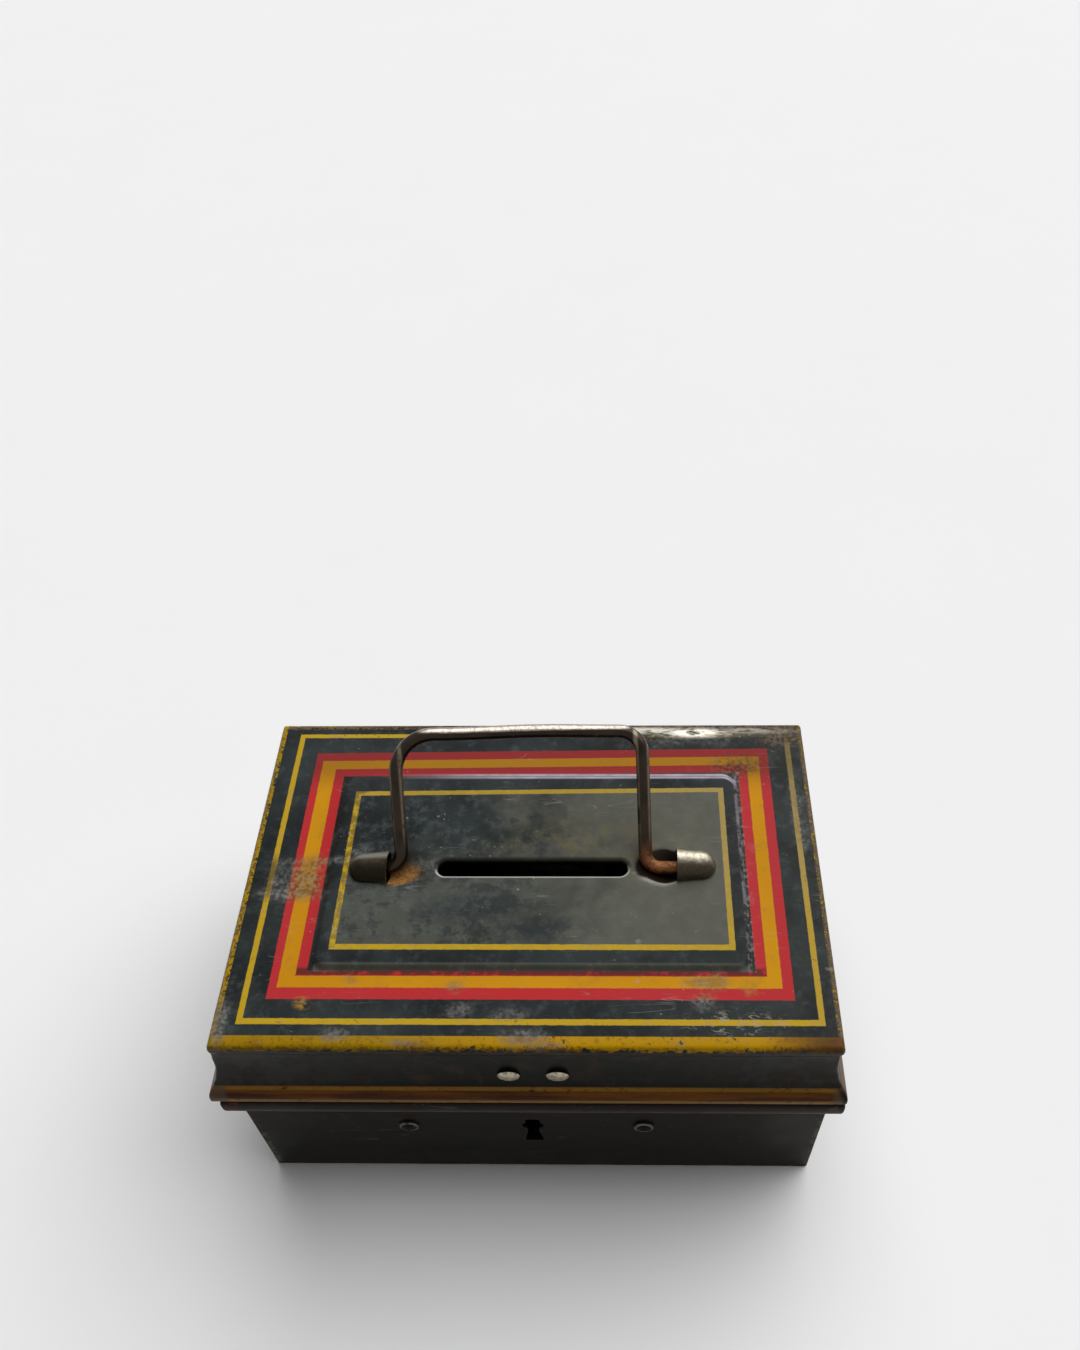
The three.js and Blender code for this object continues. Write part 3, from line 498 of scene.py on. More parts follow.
def make_lid(materials):
    lid = lid_pressing()
    turn_upwards(lid)
    sheet = lid.modifiers.new("sheet", "SOLIDIFY")
    sheet.thickness = SHEET * MM
    sheet.offset = -1
    sheet.use_even_offset = True
    sheet.thickness_clamp = 1
    sheet.material_offset = sheet.material_offset_rim = 1
    for material in materials:
        lid.data.materials.append(material)
    apply_changes(lid)
    cut(lid, corner_cutters(LID_HALF_WIDTH, LID_X, LIP_Z + NOTCH_HEIGHT, LIP_Z))
    lid.data.shade_smooth()
    lid.data.set_sharp_from_angle(angle=math.radians(42))
    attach(lid, "lid")
    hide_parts("lid_shell")


def turn_upwards(obj):
    """Turns the faces of an open sheet so that the highest flat looks up."""
    top = max(obj.data.polygons, key=lambda face: (round(face.center.z, 5), face.area))
    if top.normal.z < 0:
        obj.data.flip_normals()


# The body

def make_body(material):
    profile = smooth_line([(out * FLARE, SEAM_Z - down * LEDGE_DROP) for out, down in LEDGE_PROFILE], 3)
    low = [(0, z) for z in (0.5, 12, 24, 36, 46)]
    third = SHEET / 3
    neck = [(0, NECK_Z - third), (-third, NECK_Z), (-2 * third, NECK_Z), (-SHEET, NECK_Z - third)]
    back = [(-SHEET, 46), (-SHEET, 24), (-SHEET, 0.5), (-2 * third, 0), (-third, 0)]
    skin = Skin()
    skin.loft([body_ring(out, z) for out, z in low + profile + neck + back + low[:1]])
    body = skin.build("body_pressing")
    right = [(KEYHOLE_X + across * KEYHOLE_WIDTH, -HALF_DEPTH - CLEAR, KEYHOLE_TOP - down * KEYHOLE_HEIGHT)
             for across, down in KEYHOLE_PROFILE]
    left = [(2 * KEYHOLE_X - x, y, z) for x, y, z in reversed(right)]
    cutters = [prism("keyhole", right + left, (0, 1, 0), 2 * CLEAR)]
    cutters += [block("gap", (x - HINGE_HALF, HALF_DEPTH, SEAM_Z - LEDGE_DROP - 1),
                      (x + HINGE_HALF, HALF_DEPTH + FLARE + CLEAR, SEAM_Z + 1)) for x in (-HINGE_X, HINGE_X)]
    cutters += corner_cutters(BODY_HALF_WIDTH, BODY_X, SEAM_Z + NOTCH_WIDTH, SEAM_Z - LEDGE_DROP)
    cut(body, cutters)
    finish_piece(body, "body_shell", "box", material)


# Wire, rivets and the pieces kept from the model

def bent_route(corners, radii, turns=14):
    """The middle line of a bent wire, with a station at every change of direction."""
    stations = [corners[0]]
    for i in range(1, len(corners) - 1):
        back = (corners[i - 1] - corners[i]).normalized()
        ahead = (corners[i + 1] - corners[i]).normalized()
        half = back.angle(ahead) / 2
        radius = radii[i - 1]
        centre = corners[i] + (back + ahead).normalized() * (radius / math.sin(half))
        start = corners[i] + back * (radius / math.tan(half)) - centre
        end = corners[i] + ahead * (radius / math.tan(half)) - centre
        axis = start.cross(end).normalized()
        sweep = start.angle(end)
        stations += [Matrix.Rotation(angle, 3, axis) @ start + centre for angle in arc(turns, sweep)]
    return stations + [corners[-1]]


def even_stations(stations, spacing=1.2):
    """Adds stations on the straights, so that none is far from the next."""
    line = [stations[0]]
    for a, b in zip(stations, stations[1:]):
        count = max(1, round((b - a).length / spacing))
        line += [a.lerp(b, k / count) for k in range(1, count + 1)]
    return line


def swept_wire(name, line, radius, sides=20):
    """A round wire along a line, with rounded ends."""
    skin = Skin()
    rings = []
    side = Vector((0, 1, 0))
    last = len(line) - 1
    for i, spot in enumerate(line):
        along = (line[min(i + 1, last)] - line[max(i - 1, 0)]).normalized()
        side = (side - along * side.dot(along)).normalized()
        other = along.cross(side)
        ends = [(radius, 0)]
        if i == 0:
            ends = [(radius * math.sin(a), -radius * 0.45 * math.cos(a)) for a in (0.05, 0.5, 1, 1.57)]
        if i == last:
            ends = [(radius * math.sin(a), radius * 0.45 * math.cos(a)) for a in (1.57, 1, 0.5, 0.05)]
        for size, step in ends:
            rings.append([spot + along * step + (side * math.cos(t) + other * math.sin(t)) * size
                          for t in arc(sides, 2 * math.pi)[:-1]])
    skin.solid_loft(rings)
    return skin.build(name)


def make_bail(material):
    half = BAIL_WIDTH / 2
    left, right = BAIL_SKEW
    flat = [(-half - BAIL_STUB, 0), (-half, 0), (-half + left, BAIL_REACH - BAIL_DROOP),
            (half + right, BAIL_REACH), (half, 0), (half + BAIL_STUB, 0)]
    line = even_stations(bent_route([Vector((x, 0, z)) for x, z in flat], BAIL_RADII))
    lean = Matrix.Rotation(-math.radians(90 - BAIL_LEAN), 3, "X")
    place = Vector((BAIL_SHIFT, HOOD_Y, PIVOT_Z))
    hand_bent = []
    for spot in line:
        rise = max(0, spot.z / BAIL_REACH)
        wave = BAIL_WAVE * rise * math.sin(spot.x * 0.13 + 1.1)
        hand_bent.append(lean @ (spot + Vector((0, 0.5 * wave, wave))) + place)
    bail = swept_wire("bail_wire", hand_bent, WIRE_RADIUS)
    finish_piece(bail, "bail_handle", "bail", material, 60)


def turned(name, profile, place, outward, sides=40):
    """A turned piece: radius and height along its axis."""
    turn = Vector((0, 0, 1)).rotation_difference(Vector(outward)).to_matrix()
    skin = Skin()
    rings = []
    for radius, height in profile:
        wide = max(radius, 0.01)
        rings.append([turn @ Vector((wide * math.cos(t), wide * math.sin(t), height)) + Vector(place)
                      for t in arc(sides, 2 * math.pi)[:-1]])
    skin.solid_loft(rings)
    return skin.build(name)


def middle_of(node):
    low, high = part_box(node)
    return (Vector(low) + Vector(high)) / 2 / MM


def head_foot(node, axis):
    """Where a rivet of the model sits: a point on its axis at the underside of its head."""
    middle = middle_of(node)
    top = max((Vector(v.co) / MM).dot(axis) for v in nodes[node].data.vertices)
    return middle + axis * (top - RIVET_HEIGHT - middle.dot(axis))


def dome_profile(stack, height=RIVET_HEIGHT):
    """A domed head on a shank through a stack of sheets, clinched behind."""
    rim = [(RIVET_RADIUS * math.cos(a) ** 0.7, height * math.sin(a)) for a in arc(9)[2:-1]]
    clinch = [(0, -stack - 0.9), (1.7, -stack - 0.8), (CLINCH_RADIUS, -stack - 0.5),
              (CLINCH_RADIUS, -stack - 0.3), (SHANK_RADIUS, -stack - 0.3), (SHANK_RADIUS, 0)]
    return clinch + [(RIVET_RADIUS - 0.15, 0), (RIVET_RADIUS, 0.15)] + rim + [(0, height)]


def worn_profile(stack):
    """A head that has been hammered and rubbed flat."""
    return dome_profile(stack, WORN_RIVET_HEIGHT)


def roll_profile(stack):
    """A tubular rivet, rolled over in front."""
    r = RIVET_RADIUS
    return [(0, -stack - 0.9), (CLINCH_RADIUS, -stack - 0.9), (CLINCH_RADIUS, -stack - 0.3),
            (SHANK_RADIUS, -stack - 0.3), (SHANK_RADIUS, 0), (r - 0.1, 0), (r, 0.12), (r, 0.35),
            (r * 0.95, 0.62), (r * 0.86, 0.82), (r * 0.75, 0.88), (r * 0.64, 0.8), (r * 0.55, 0.6),
            (r * 0.48, 0.38), (r * 0.4, 0.25), (r * 0.34, -0.1), (r * 0.3, -stack), (0, -stack)]


def skirt_spot(node):
    """Where a rivet of the model meets the dressed lid's front skirt."""
    middle = middle_of(node)
    line = [(SHOULDER_Z - down * (SHOULDER_Z - LIP_Z), out * FLARE) for out, down in LID_PROFILE]
    for (z0, out0), (z1, out1) in zip(line, line[1:]):
        if z0 >= middle.z >= z1:
            out = out0 + (out1 - out0) * (z0 - middle.z) / (z0 - z1)
    return Vector((middle.x, -HALF_DEPTH - out, middle.z))


def replace_rivet(node, outward, stack, profile, material, body, place=None):
    """Puts a turned stud in place of a rivet of the model."""
    axis = Vector(outward).normalized()
    obj = turned(node.replace("rivet", "stud"), profile(stack), place or head_foot(node, axis), axis)
    finish_piece(obj, node, body, material, 50)


def dress(node, material, width=0.12):
    """Keeps a piece of the model, with its sharp edges broken and a material of its own."""
    obj = nodes[node]
    merge = obj.modifiers.new("flat faces", "DECIMATE")
    merge.decimate_type = "DISSOLVE"
    merge.angle_limit = math.radians(1)
    soften = obj.modifiers.new("broken edges", "BEVEL")
    soften.width = width * MM
    soften.segments = 2
    soften.limit_method = "ANGLE"
    soften.angle_limit = math.radians(40)
    obj.data.materials.clear()
    obj.data.materials.append(material)
    smooth = obj.modifiers.new("even shading", "WEIGHTED_NORMAL")
    smooth.keep_sharp = True


# Materials

def srgb(red, green, blue):
    """A colour as it looks on a screen, 0 to 255, as the shader wants it."""
    def linear(value):
        value /= 255
        return value / 12.92 if value <= 0.04045 else ((value + 0.055) / 1.055) ** 2.4
    return (linear(red), linear(green), linear(blue), 1)


def by_node(operation):
    """A method that works something out with a math node."""
    return lambda self, *others: self.tree.math(operation, self, *others)


class Field:
    """A number that varies over a surface; what is worked out with it becomes shader nodes."""

    def __init__(self, tree, socket):
        self.tree = tree
        self.socket = socket

    __add__ = by_node("ADD")
    __sub__ = by_node("SUBTRACT")
    __mul__ = by_node("MULTIPLY")
    __truediv__ = by_node("DIVIDE")
    __abs__ = by_node("ABSOLUTE")

    def __rsub__(self, other):
        return self.tree.math("SUBTRACT", other, self)

    def less(self, cover):
        """What is left of this where the other covers it."""
        return self * (1 - cover)

    def step(self, low, high):
        """0 below low, 1 above high, smooth between them; low may be the larger one."""
        start, end = sorted((low, high))
        made = self.tree.node("MapRange", {"Value": self, "From Min": start, "From Max": end},
                              interpolation_type="SMOOTHSTEP")
        rise = Field(self.tree, made.outputs[0])
        return 1 - rise if low > high else rise

    def between(self, low, high, soft=0.15):
        return self.step(low - soft, low + soft) * self.step(high + soft, high - soft)

    def tones(self, low, high, first, second):
        """One colour below low, another above high."""
        return self.tree.mix(self.step(low, high), first, second)


class Tree:
    """The shader nodes of a material or of the world, with short ways to make and join them."""

    def __init__(self, owner):
        owner.use_nodes = True
        self.nodes = owner.node_tree.nodes
        self.links = owner.node_tree.links

    def feed(self, socket, value):
        """Gives a socket a link, a colour as on a screen, or a plain value."""
        if isinstance(value, Field):
            value = value.socket
        if isinstance(value, bpy.types.NodeSocket):
            self.links.new(value, socket)
        elif socket.type == "RGBA":
            socket.default_value = srgb(*value)
        else:
            socket.default_value = value

    def node(self, kind, inputs=(), **settings):
        made = self.nodes.new("ShaderNode" + kind)
        for key, value in settings.items():
            setattr(made, key, value)
        for key, value in dict(inputs).items():
            self.feed(made.inputs[key], value)
        return made

    def math(self, operation, a, b=0):
        return Field(self, self.node("Math", {0: a, 1: b}, operation=operation).outputs[0])

    def most(self, *fields):
        return reduce(partial(self.math, "MAXIMUM"), fields)

    def least(self, *fields):
        return reduce(partial(self.math, "MINIMUM"), fields)

    def length(self, a, b):
        return self.math("SQRT", a * a + b * b)

    def mix(self, share, a, b):
        """A colour between two colours."""
        return self.node("Mix", {"Factor": share, 6: a, 7: b}, data_type="RGBA").outputs[2]

    def blend(self, share, a, b):
        """A number between two numbers."""
        return Field(self, self.node("Mix", {"Factor": share, 2: a, 3: b}, data_type="FLOAT").outputs[0])


class Finish(Tree):
    """One material, coat upon coat. Places are in millimetres."""

    def __init__(self, name):
        self.material = bpy.data.materials.new(name)
        super().__init__(self.material)
        coords = self.node("TexCoord").outputs["Object"]
        self.place = self.node("VectorMath", {0: coords, 1: (1 / MM,) * 3}, operation="MULTIPLY").outputs[0]
        axes = self.node("SeparateXYZ", {0: self.place}).outputs
        self.x, self.y, self.z = (Field(self, axis) for axis in axes)
        self.color = None

    def layers(self, color, *coats):
        """A colour under coats, each of which is a share and a colour."""
        for share, coat in coats:
            color = self.mix(share, color, coat)
        return color

    def coat(self, share, color):
        """Lays a colour over what the material already has."""
        self.color = self.mix(share, self.color, color)

    def noise(self, size, detail=3, roughness=0.55, stretch=None, turn=0, warp=0):
        """Soft noise from 0 to 1 whose lumps are about size across."""
        place = self.place
        if stretch:
            place = self.node("Mapping", {"Vector": place, "Rotation": (0, 0, math.radians(turn)),
                                          "Scale": stretch}).outputs[0]
        made = self.node("TexNoise", {"Vector": place, "Scale": 1 / size, "Detail": detail,
                                      "Roughness": roughness, "Distortion": warp})
        return Field(self, made.outputs["Fac"])

    def specks(self, spacing, share, size):
        """Scattered round dots: the share of cells that has one, and how large it is."""
        cell = self.node("TexVoronoi", {"Vector": self.place, "Scale": 1 / spacing})
        chance = Field(self, self.node("SeparateColor", {0: cell.outputs["Color"]}).outputs[0])
        reach = chance.step(1 - share, 1) * (size / spacing)
        return (reach - cell.outputs["Distance"]).step(0, 0.06)

    def scratches(self, size, turn, stretch, thin=0.01, cover=0.6):
        """Thin pale lines that run mostly one way, in patches."""
        lines = self.noise(size, 1, 0.5, stretch, turn, 0.4)
        patch = self.noise(size * 1.7, 2)
        return abs(lines - 0.5).step(thin, 0) * patch.step(cover, cover + 0.12)

    def spot(self, x, y, reach_x, reach_y, soft=0.6):
        """A soft oval on plan."""
        return self.length((self.x - x) / reach_x, (self.y - y) / reach_y).step(1 + soft, 1 - soft)

    def finish(self, roughness, metallic=0, height=None, gloss=0.5):
        """Height is in millimetres."""
        values = {"Base Color": self.color, "Roughness": roughness, "Metallic": metallic,
                  "Specular IOR Level": gloss}
        if height is not None:
            values["Normal"] = self.node("Bump", {"Height": height, "Distance": MM}).outputs[0]
        for name, value in values.items():
            self.feed(self.nodes["Principled BSDF"].inputs[name], value)
        return self.material


# The lid's paint

def inside_frame(p, half_x, front, back, wobble=0, middle=0, slant=REAR_SLANT):
    """1 inside a painted rectangle with square corners, whose rear side may slant."""
    past = p.most(abs(p.x - middle) - half_x, p.y - back - p.x * slant, front - p.y)
    return (past + wobble).step(PAINT_SOFT, -PAINT_SOFT)


def painted_lines(p):
    """Where each hand-painted line lies."""
    wobble = (p.noise(1.6, 2) - 0.5) * 0.3
    outer = inside_frame(p, 71.3, -45, 48.2, wobble, 0.3, 0)
    outer_in = inside_frame(p, 69.8, -43.4, 46.8, wobble, 0.3, 0)
    red = inside_frame(p, 64.9, -38.2, 41.7, wobble)
    yellow = inside_frame(p, 62.5, -35, 38.8, wobble, -0.3)
    yellow_in = inside_frame(p, 58.7, -31.7, 35.7, wobble)
    red_in = inside_frame(p, 56, -30.4, 33, wobble)
    inner = inside_frame(p, 51.3, -24.9, 26.5, wobble)
    inner_in = inside_frame(p, 49.8, -23.3, 25, wobble)
    lines = SimpleNamespace(thin=outer.less(outer_in), red=red.less(yellow), wide=yellow.less(yellow_in),
                            inner_red=yellow_in.less(red_in), inner=inner.less(inner_in), panel=inner)
    lines.all = p.most(lines.red, lines.inner_red, lines.wide, lines.thin, lines.inner)
    return lines


def lid_ground(p, panel):
    """Slate enamel with dark clouds under a greenish grey haze, thickest on the right, that is partly real
    and partly a painted reflection, with painted light on the front slope; gives the haze.
    """
    x, y = p.x, p.y
    fine = p.noise(4.5, 5, 0.65)
    mottled = p.noise(2.6, 6, 0.7)
    p.color = p.noise(24, 5, 0.62).tones(0.36, 0.64, INK, SLATE)
    p.coat(fine.step(0.46, 0.66) * mottled.step(0.4, 0.62) * 0.4, (74, 80, 80))
    drift = (p.noise(19, 5, 0.6, warp=0.6) - 0.5) * 95
    # The haze is partly a painted reflection of the bright back right: thickest on the right and in front.
    thick = p.most((x + drift).step(-20, 24), (y + drift * 0.35).step(12, -4) * 0.62)
    dark_patch = p.most(p.spot(-16, -13, 14, 4, 0.7), p.spot(1, -19, 12, 4, 0.7),
                        p.spot(-34, 19, 20, 7, 0.7) * 0.9)
    blotch = p.noise(8, 7, 0.68).step(0.49, 0.56) * x.step(16, -8)
    film_and_sheen = (panel * thick * (fine * 0.5 + 0.62)).less(dark_patch * fine.step(0.34, 0.5) * 0.85)
    film_and_sheen = film_and_sheen.less(blotch * 0.65)
    # Painted light: the haze also covers the panel's front slope, to lighten its shade.
    slope = inside_frame(p, 54.6, -30.6, 33.4) * y.step(-28.2, -29) * (mottled * 0.5 + 0.3)
    film_and_sheen = p.most(film_and_sheen, (x + drift).step(0, 110).less(panel) * 0.1, slope)
    bluish = panel * x.step(6, -14) * mottled.step(0.44, 0.6) * fine.step(0.36, 0.6)
    p.coat(bluish * 0.45, (72, 82, 82))
    p.coat(film_and_sheen * 0.86, (98, 98, 88))
    p.coat(p.spot(16, 8, 22, 8, 0.8) * fine.step(0.42, 0.6) * 0.45, (104, 96, 66))
    return film_and_sheen


def lid_stripes(p, lines):
    """Yellow and red lines, duller at the back and the right, and worn away here and there."""
    x, y = p.x, p.y
    tone = p.noise(30, 4).step(0.35, 0.65)
    soot = p.noise(5, 5, 0.7).step(0.52, 0.7)
    back_dull = y.step(26, 36)
    right_dull = x.step(-10, 60)
    yellow = p.layers((195, 136, 0), (tone * 0.5, (184, 122, 0)), (back_dull * 0.6, (124, 84, 14)),
                      (soot * 0.3, (136, 100, 46)))
    red = p.layers((177, 38, 40), (tone * 0.35 + right_dull * 0.3, (168, 48, 54)),
                   (back_dull * 0.8, (120, 36, 34)))
    # Painted shade: the inner red darkens in front along the foot of the raised panel.
    foot = y.step(-31.9, -31.2) * y.step(-29, -30) * p.noise(3, 4).step(0.3, 0.5)
    inner_red = p.layers(red, (x.step(30, 58) * soot * 0.6, (166, 84, 84)), (foot * 0.8, (70, 32, 26)))
    pale = p.most(right_dull * y.step(-34, 10) * 0.8, soot * 0.45,
                  y.between(24, 27.5) * 0.25, x.step(66, 70) * 0.25)
    thin = p.mix(pale, (184, 150, 24), PALE_YELLOW)
    worn = p.most(y.step(45, 46.5) * x.step(-42, -14), p.spot(-71, -2, 3, 6, 0.5) * 0.8,
                  x.step(66, 69) * y.step(18, 40) * 0.6)
    worn = p.most(worn * p.noise(2.6, 4, 0.7).step(0.3, 0.44),
                  p.noise(1.4, 4, 0.75).step(0.6, 0.68) * 0.7)
    faded = p.most(x.step(-46, -49) * 0.55, 0.12) * p.noise(2, 4, 0.7).step(0.4, 0.55)
    p.coat(lines.red, red)
    p.coat(lines.inner_red, inner_red)
    p.coat(lines.wide, yellow)
    p.coat(lines.thin.less(worn * 0.9) * 0.95, thin)
    p.coat(lines.inner.less(faded), thin)


def lid_roll(p, chips, grime):
    """The yellow line on the shoulder's roll, stained in front and rubbed elsewhere; gives its place."""
    x, y, z = p.x, p.y, p.z
    flecks = p.noise(0.9, 4, 0.7)
    front = y.step(-47.8, -48.1) * z.step(73.9, 74.5)
    front = front.less((chips + z.step(75.7, 74.4) * 0.17).step(0.61, 0.66))
    left = x.between(-76.9, -75.2) * z.step(74, 74.5) * 0.95
    right = x.between(74.3, 75.4) * z.step(74.3, 74.8)
    back = y.step(51, 51.3) * x.step(-30, -70)
    sides = p.most(left.less(flecks.step(0.48, 0.56)), right.less(flecks.step(0.38, 0.46)),
                   back.less(flecks.step(0.42, 0.5)))
    near = y.step(-47, -48)
    stained = (flecks + z.step(76.1, 74.8) * 0.22).step(0.52, 0.68) * grime.step(0.34, 0.56)
    yellow = p.layers(grime.tones(0.5, 0.72, (176, 132, 0), (150, 100, 20)), (sides * 0.6, (160, 136, 16)),
                      (stained * near * 0.85, (84, 58, 18)), (x.step(0, -40) * near * 0.4, (106, 90, 4)),
                      (x.step(54, 72) * near * 0.85, DARK_RUST))
    round_edge = p.most(abs(x - LID_X).step(74.6, 75.6), y.step(49.6, 50.8)) * z.step(73, 74.5)
    p.coat(round_edge * 0.8, flecks.tones(0.42, 0.6, (36, 31, 25), (116, 98, 72)))
    roll = p.most(front, sides)
    p.coat(roll, yellow)
    return roll


def lid_skirt(p, chips, grime):
    """The dark skirt, a painted highlight along its bead, the amber band with gold lines along its top and
    bottom edges as painted highlights, and a painted shadow where a slit would open the front right corner.
    """
    x, z = p.x, p.z
    stain = p.layers(grime.tones(0.46, 0.7, (24, 23, 17), (50, 38, 27)),
                     (abs(x).step(26, 70) * grime.step(0.6, 0.42) * 0.5, (66, 64, 58)))
    p.coat(z.step(74.2, 73.7) * 0.85, stain)
    # Painted highlight along the bead, broken up by chips.
    p.coat(z.between(72.6, 73.4, 0.25) * chips.step(0.36, 0.6) * 0.45, (104, 76, 48))
    band = z.between(51.4, 58)
    streak = p.noise(4, 4, 0.65, stretch=(0.12, 0.12, 1.6))
    p.coat(band.less(chips.step(0.62, 0.72) * 0.7), streak.tones(0.36, 0.68, (106, 62, 2), (58, 26, 8)))
    # Painted highlights: gold lines along the band's top and bottom edges.
    gold = p.most(z.between(56.9, 57.9, 0.2), z.between(52.2, 53.9, 0.2))
    p.coat(gold * chips.step(0.7, 0.52) * 0.85, (134, 98, 36))
    p.coat(band * abs(x - LID_X).step(75.4, 77) * 0.7, (86, 70, 58))
    # Painted shadow: a dark slit at the front right corner, whose sheet is not cut.
    off_corner = abs(x + p.y + (HALF_DEPTH - LID_HALF_WIDTH - LID_X))
    p.coat(off_corner.step(2, 0.6) * x.step(74, 75.5) * z.step(60, 56) * 0.9, (12, 9, 7))


def lid_scuffs(p, lines, rub, fine):
    """Rubbed places, and nicks in the painted lines; gives where both are."""
    rubbed = p.most(*(p.spot(*place, 0.9) * share for *place, share in SCUFFS))
    scuff = (rubbed + rub).step(0.74, 1.34) * p.z.step(73.5, 74.5)
    pale = p.mix(lines.all, fine.tones(0.34, 0.66, (76, 77, 75), (122, 121, 117)),
                 fine.tones(0.34, 0.66, (84, 72, 54), (142, 124, 94)))
    p.coat(scuff * (fine.step(0.36, 0.64) * 0.45 + 0.6), pale)
    brown = p.spot(-60.4, -2, 4.2, 6) * rub.step(0.36, 0.54)
    p.coat(brown * 0.75, fine.tones(0.4, 0.6, (96, 66, 38), (150, 116, 70)))
    nicks = lines.all * p.noise(0.8, 4, 0.72).step(0.66, 0.72)
    p.coat(nicks * 0.75, fine.tones(0.45, 0.55, INK, PALE_YELLOW))
    return p.most(scuff, nicks)


def lid_rust(p, rub, fine):
    """Rust at two corners, and two stray touches of yellow; gives the rust."""
    rust = p.most(p.spot(56.5, 36.5, 7, 3.4), p.spot(73, 48, 9, 6, 0.7) * 0.8)
    rust *= rub.step(0.36, 0.54)
    p.coat(rust * 0.7, fine.tones(0.4, 0.6, (60, 50, 38), (112, 90, 64)))
    touch = p.most(p.spot(-55.6, -39.4, 2, 1.5), p.spot(54.5, -34.5, 3.4, 2.2) * 0.8) * rub.step(0.44, 0.5)
    p.coat(touch * (fine.step(0.4, 0.6) * 0.6 + 0.2), (160, 122, 40))
    return rust


def lid_bare_metal_and_sheen(p, rub):
    """The panel's raised edge, with a painted lilac sheen at the back and along the right, pale dots on the
    right and pale patches in front, and the bare rear shoulder; gives how bare they are.
    """
    x, y = p.x, p.y
    edge = inside_frame(p, 56.2, -30.6, 33.2).less(inside_frame(p, 54.2, -29, 31.2))
    # Painted sheen: a lilac reflection along the raised edge's back slope, bending round the right corner,
    # and a fainter one along the right.
    corner = x.step(50.5, 55.6)
    rear = y + corner * corner * 2.6
    sheen = rear.step(30.1, 30.9) * rear.step(33.4, 32.7) * x.step(55.6, 54.6) * x.step(-50, -4)
    right_line = x.between(54.3, 55.2, 0.2) * y.between(-14, 31, 4) * rub.step(0.4, 0.6)
    sheen = p.most(sheen * (rub + 0.3), right_line * 0.4)
    p.coat(sheen * 0.85, (166, 158, 170))
    p.coat(edge * x.step(51, 54.4) * p.noise(1.1, 5, 0.7).step(0.48, 0.62) * 0.4, DUST)
    p.coat(edge * y.step(-28, -30) * rub.step(0.52, 0.62) * 0.6, (96, 88, 80))
    brushed = p.noise(1.6, 5, 0.65, stretch=(0.3, 1, 1))
    bare = p.most(p.spot(44.5, 48.6, 9, 1.7, 0.7), p.spot(30, 49.6, 15, 1.2, 0.7) * 0.7,
                  p.spot(60, 49.4, 12, 1.2, 0.7) * 0.4) * brushed.step(0.34, 0.52)
    p.coat(bare * 0.9, brushed.tones(0.5, 0.68, (206, 200, 188), (118, 100, 80)))
    return p.most(bare, sheen * 0.5)


def lid_scratches(p):
    """Specks, thin scratches and, near the front right corner, gouges; gives the gouges."""
    top = p.z.step(74.2, 75.2)
    specks = p.most(p.specks(4.2, 0.4, 0.5), p.specks(9, 0.35, 0.95), p.specks(1.9, 0.42, 0.26))
    flecked = p.most(p.specks(3, 0.5, 0.5), p.specks(1.6, 0.5, 0.3)) * p.spot(-32, 12, 26, 12)
    specks = p.most(specks * p.noise(17).step(0.36, 0.62), flecked)
    lines = p.most(p.scratches(9, 18, (0.12, 2.2, 1), 0.008), p.scratches(7, 104, (0.16, 2.4, 1), 0.008),
                   p.scratches(5, -38, (0.2, 2, 1)) * 0.8)
    gouges = p.spot(50, -44.5, 11, 3.4) * p.scratches(1.5, 52, (0.5, 1.6, 1), 0.06, 0.46)
    p.coat(specks * top * 0.62, DUST)
    p.coat(lines * top * 0.4, DUST)
    p.coat(gouges * 0.8, (150, 146, 132))
    return gouges


def lid_dishes(p, rub, fine):
    """Rust in the left dish; the right one is darker below its rim, with a pale front rim; gives the rust.
    """
    dishes = []
    for side in (-1, 1):
        out = (p.x - (FITTINGS_X + side * HOOD_MOUTH)) * side
        shape = p.length(out / DISH_LENGTH, (p.y - HOOD_Y + DISH_MARK_SHIFT[side]) / DISH_HALF_WIDTH)
        reach = DISH_MARK_REACH[side]
        ragged = (shape + (rub - 0.5) * 0.7).step(reach + 0.14, reach - 0.14)
        dishes.append(ragged * out.step(0.4, -0.2))
    rusty, dark_dish = dishes
    orange = p.layers(fine.tones(0.32, 0.68, (164, 116, 60), (112, 78, 42)),
                      (p.y.step(-0.5, 3) * 0.75, (62, 50, 36)))
    p.coat(rusty * 0.9, orange)
    p.coat(dark_dish * p.z.step(77.35, 77.1) * 0.97, (20, 9, 3))
    p.coat(dark_dish * p.z.between(76.9, 77.3) * p.y.step(-2, -3.5) * 0.6, (176, 172, 162))
    return rusty


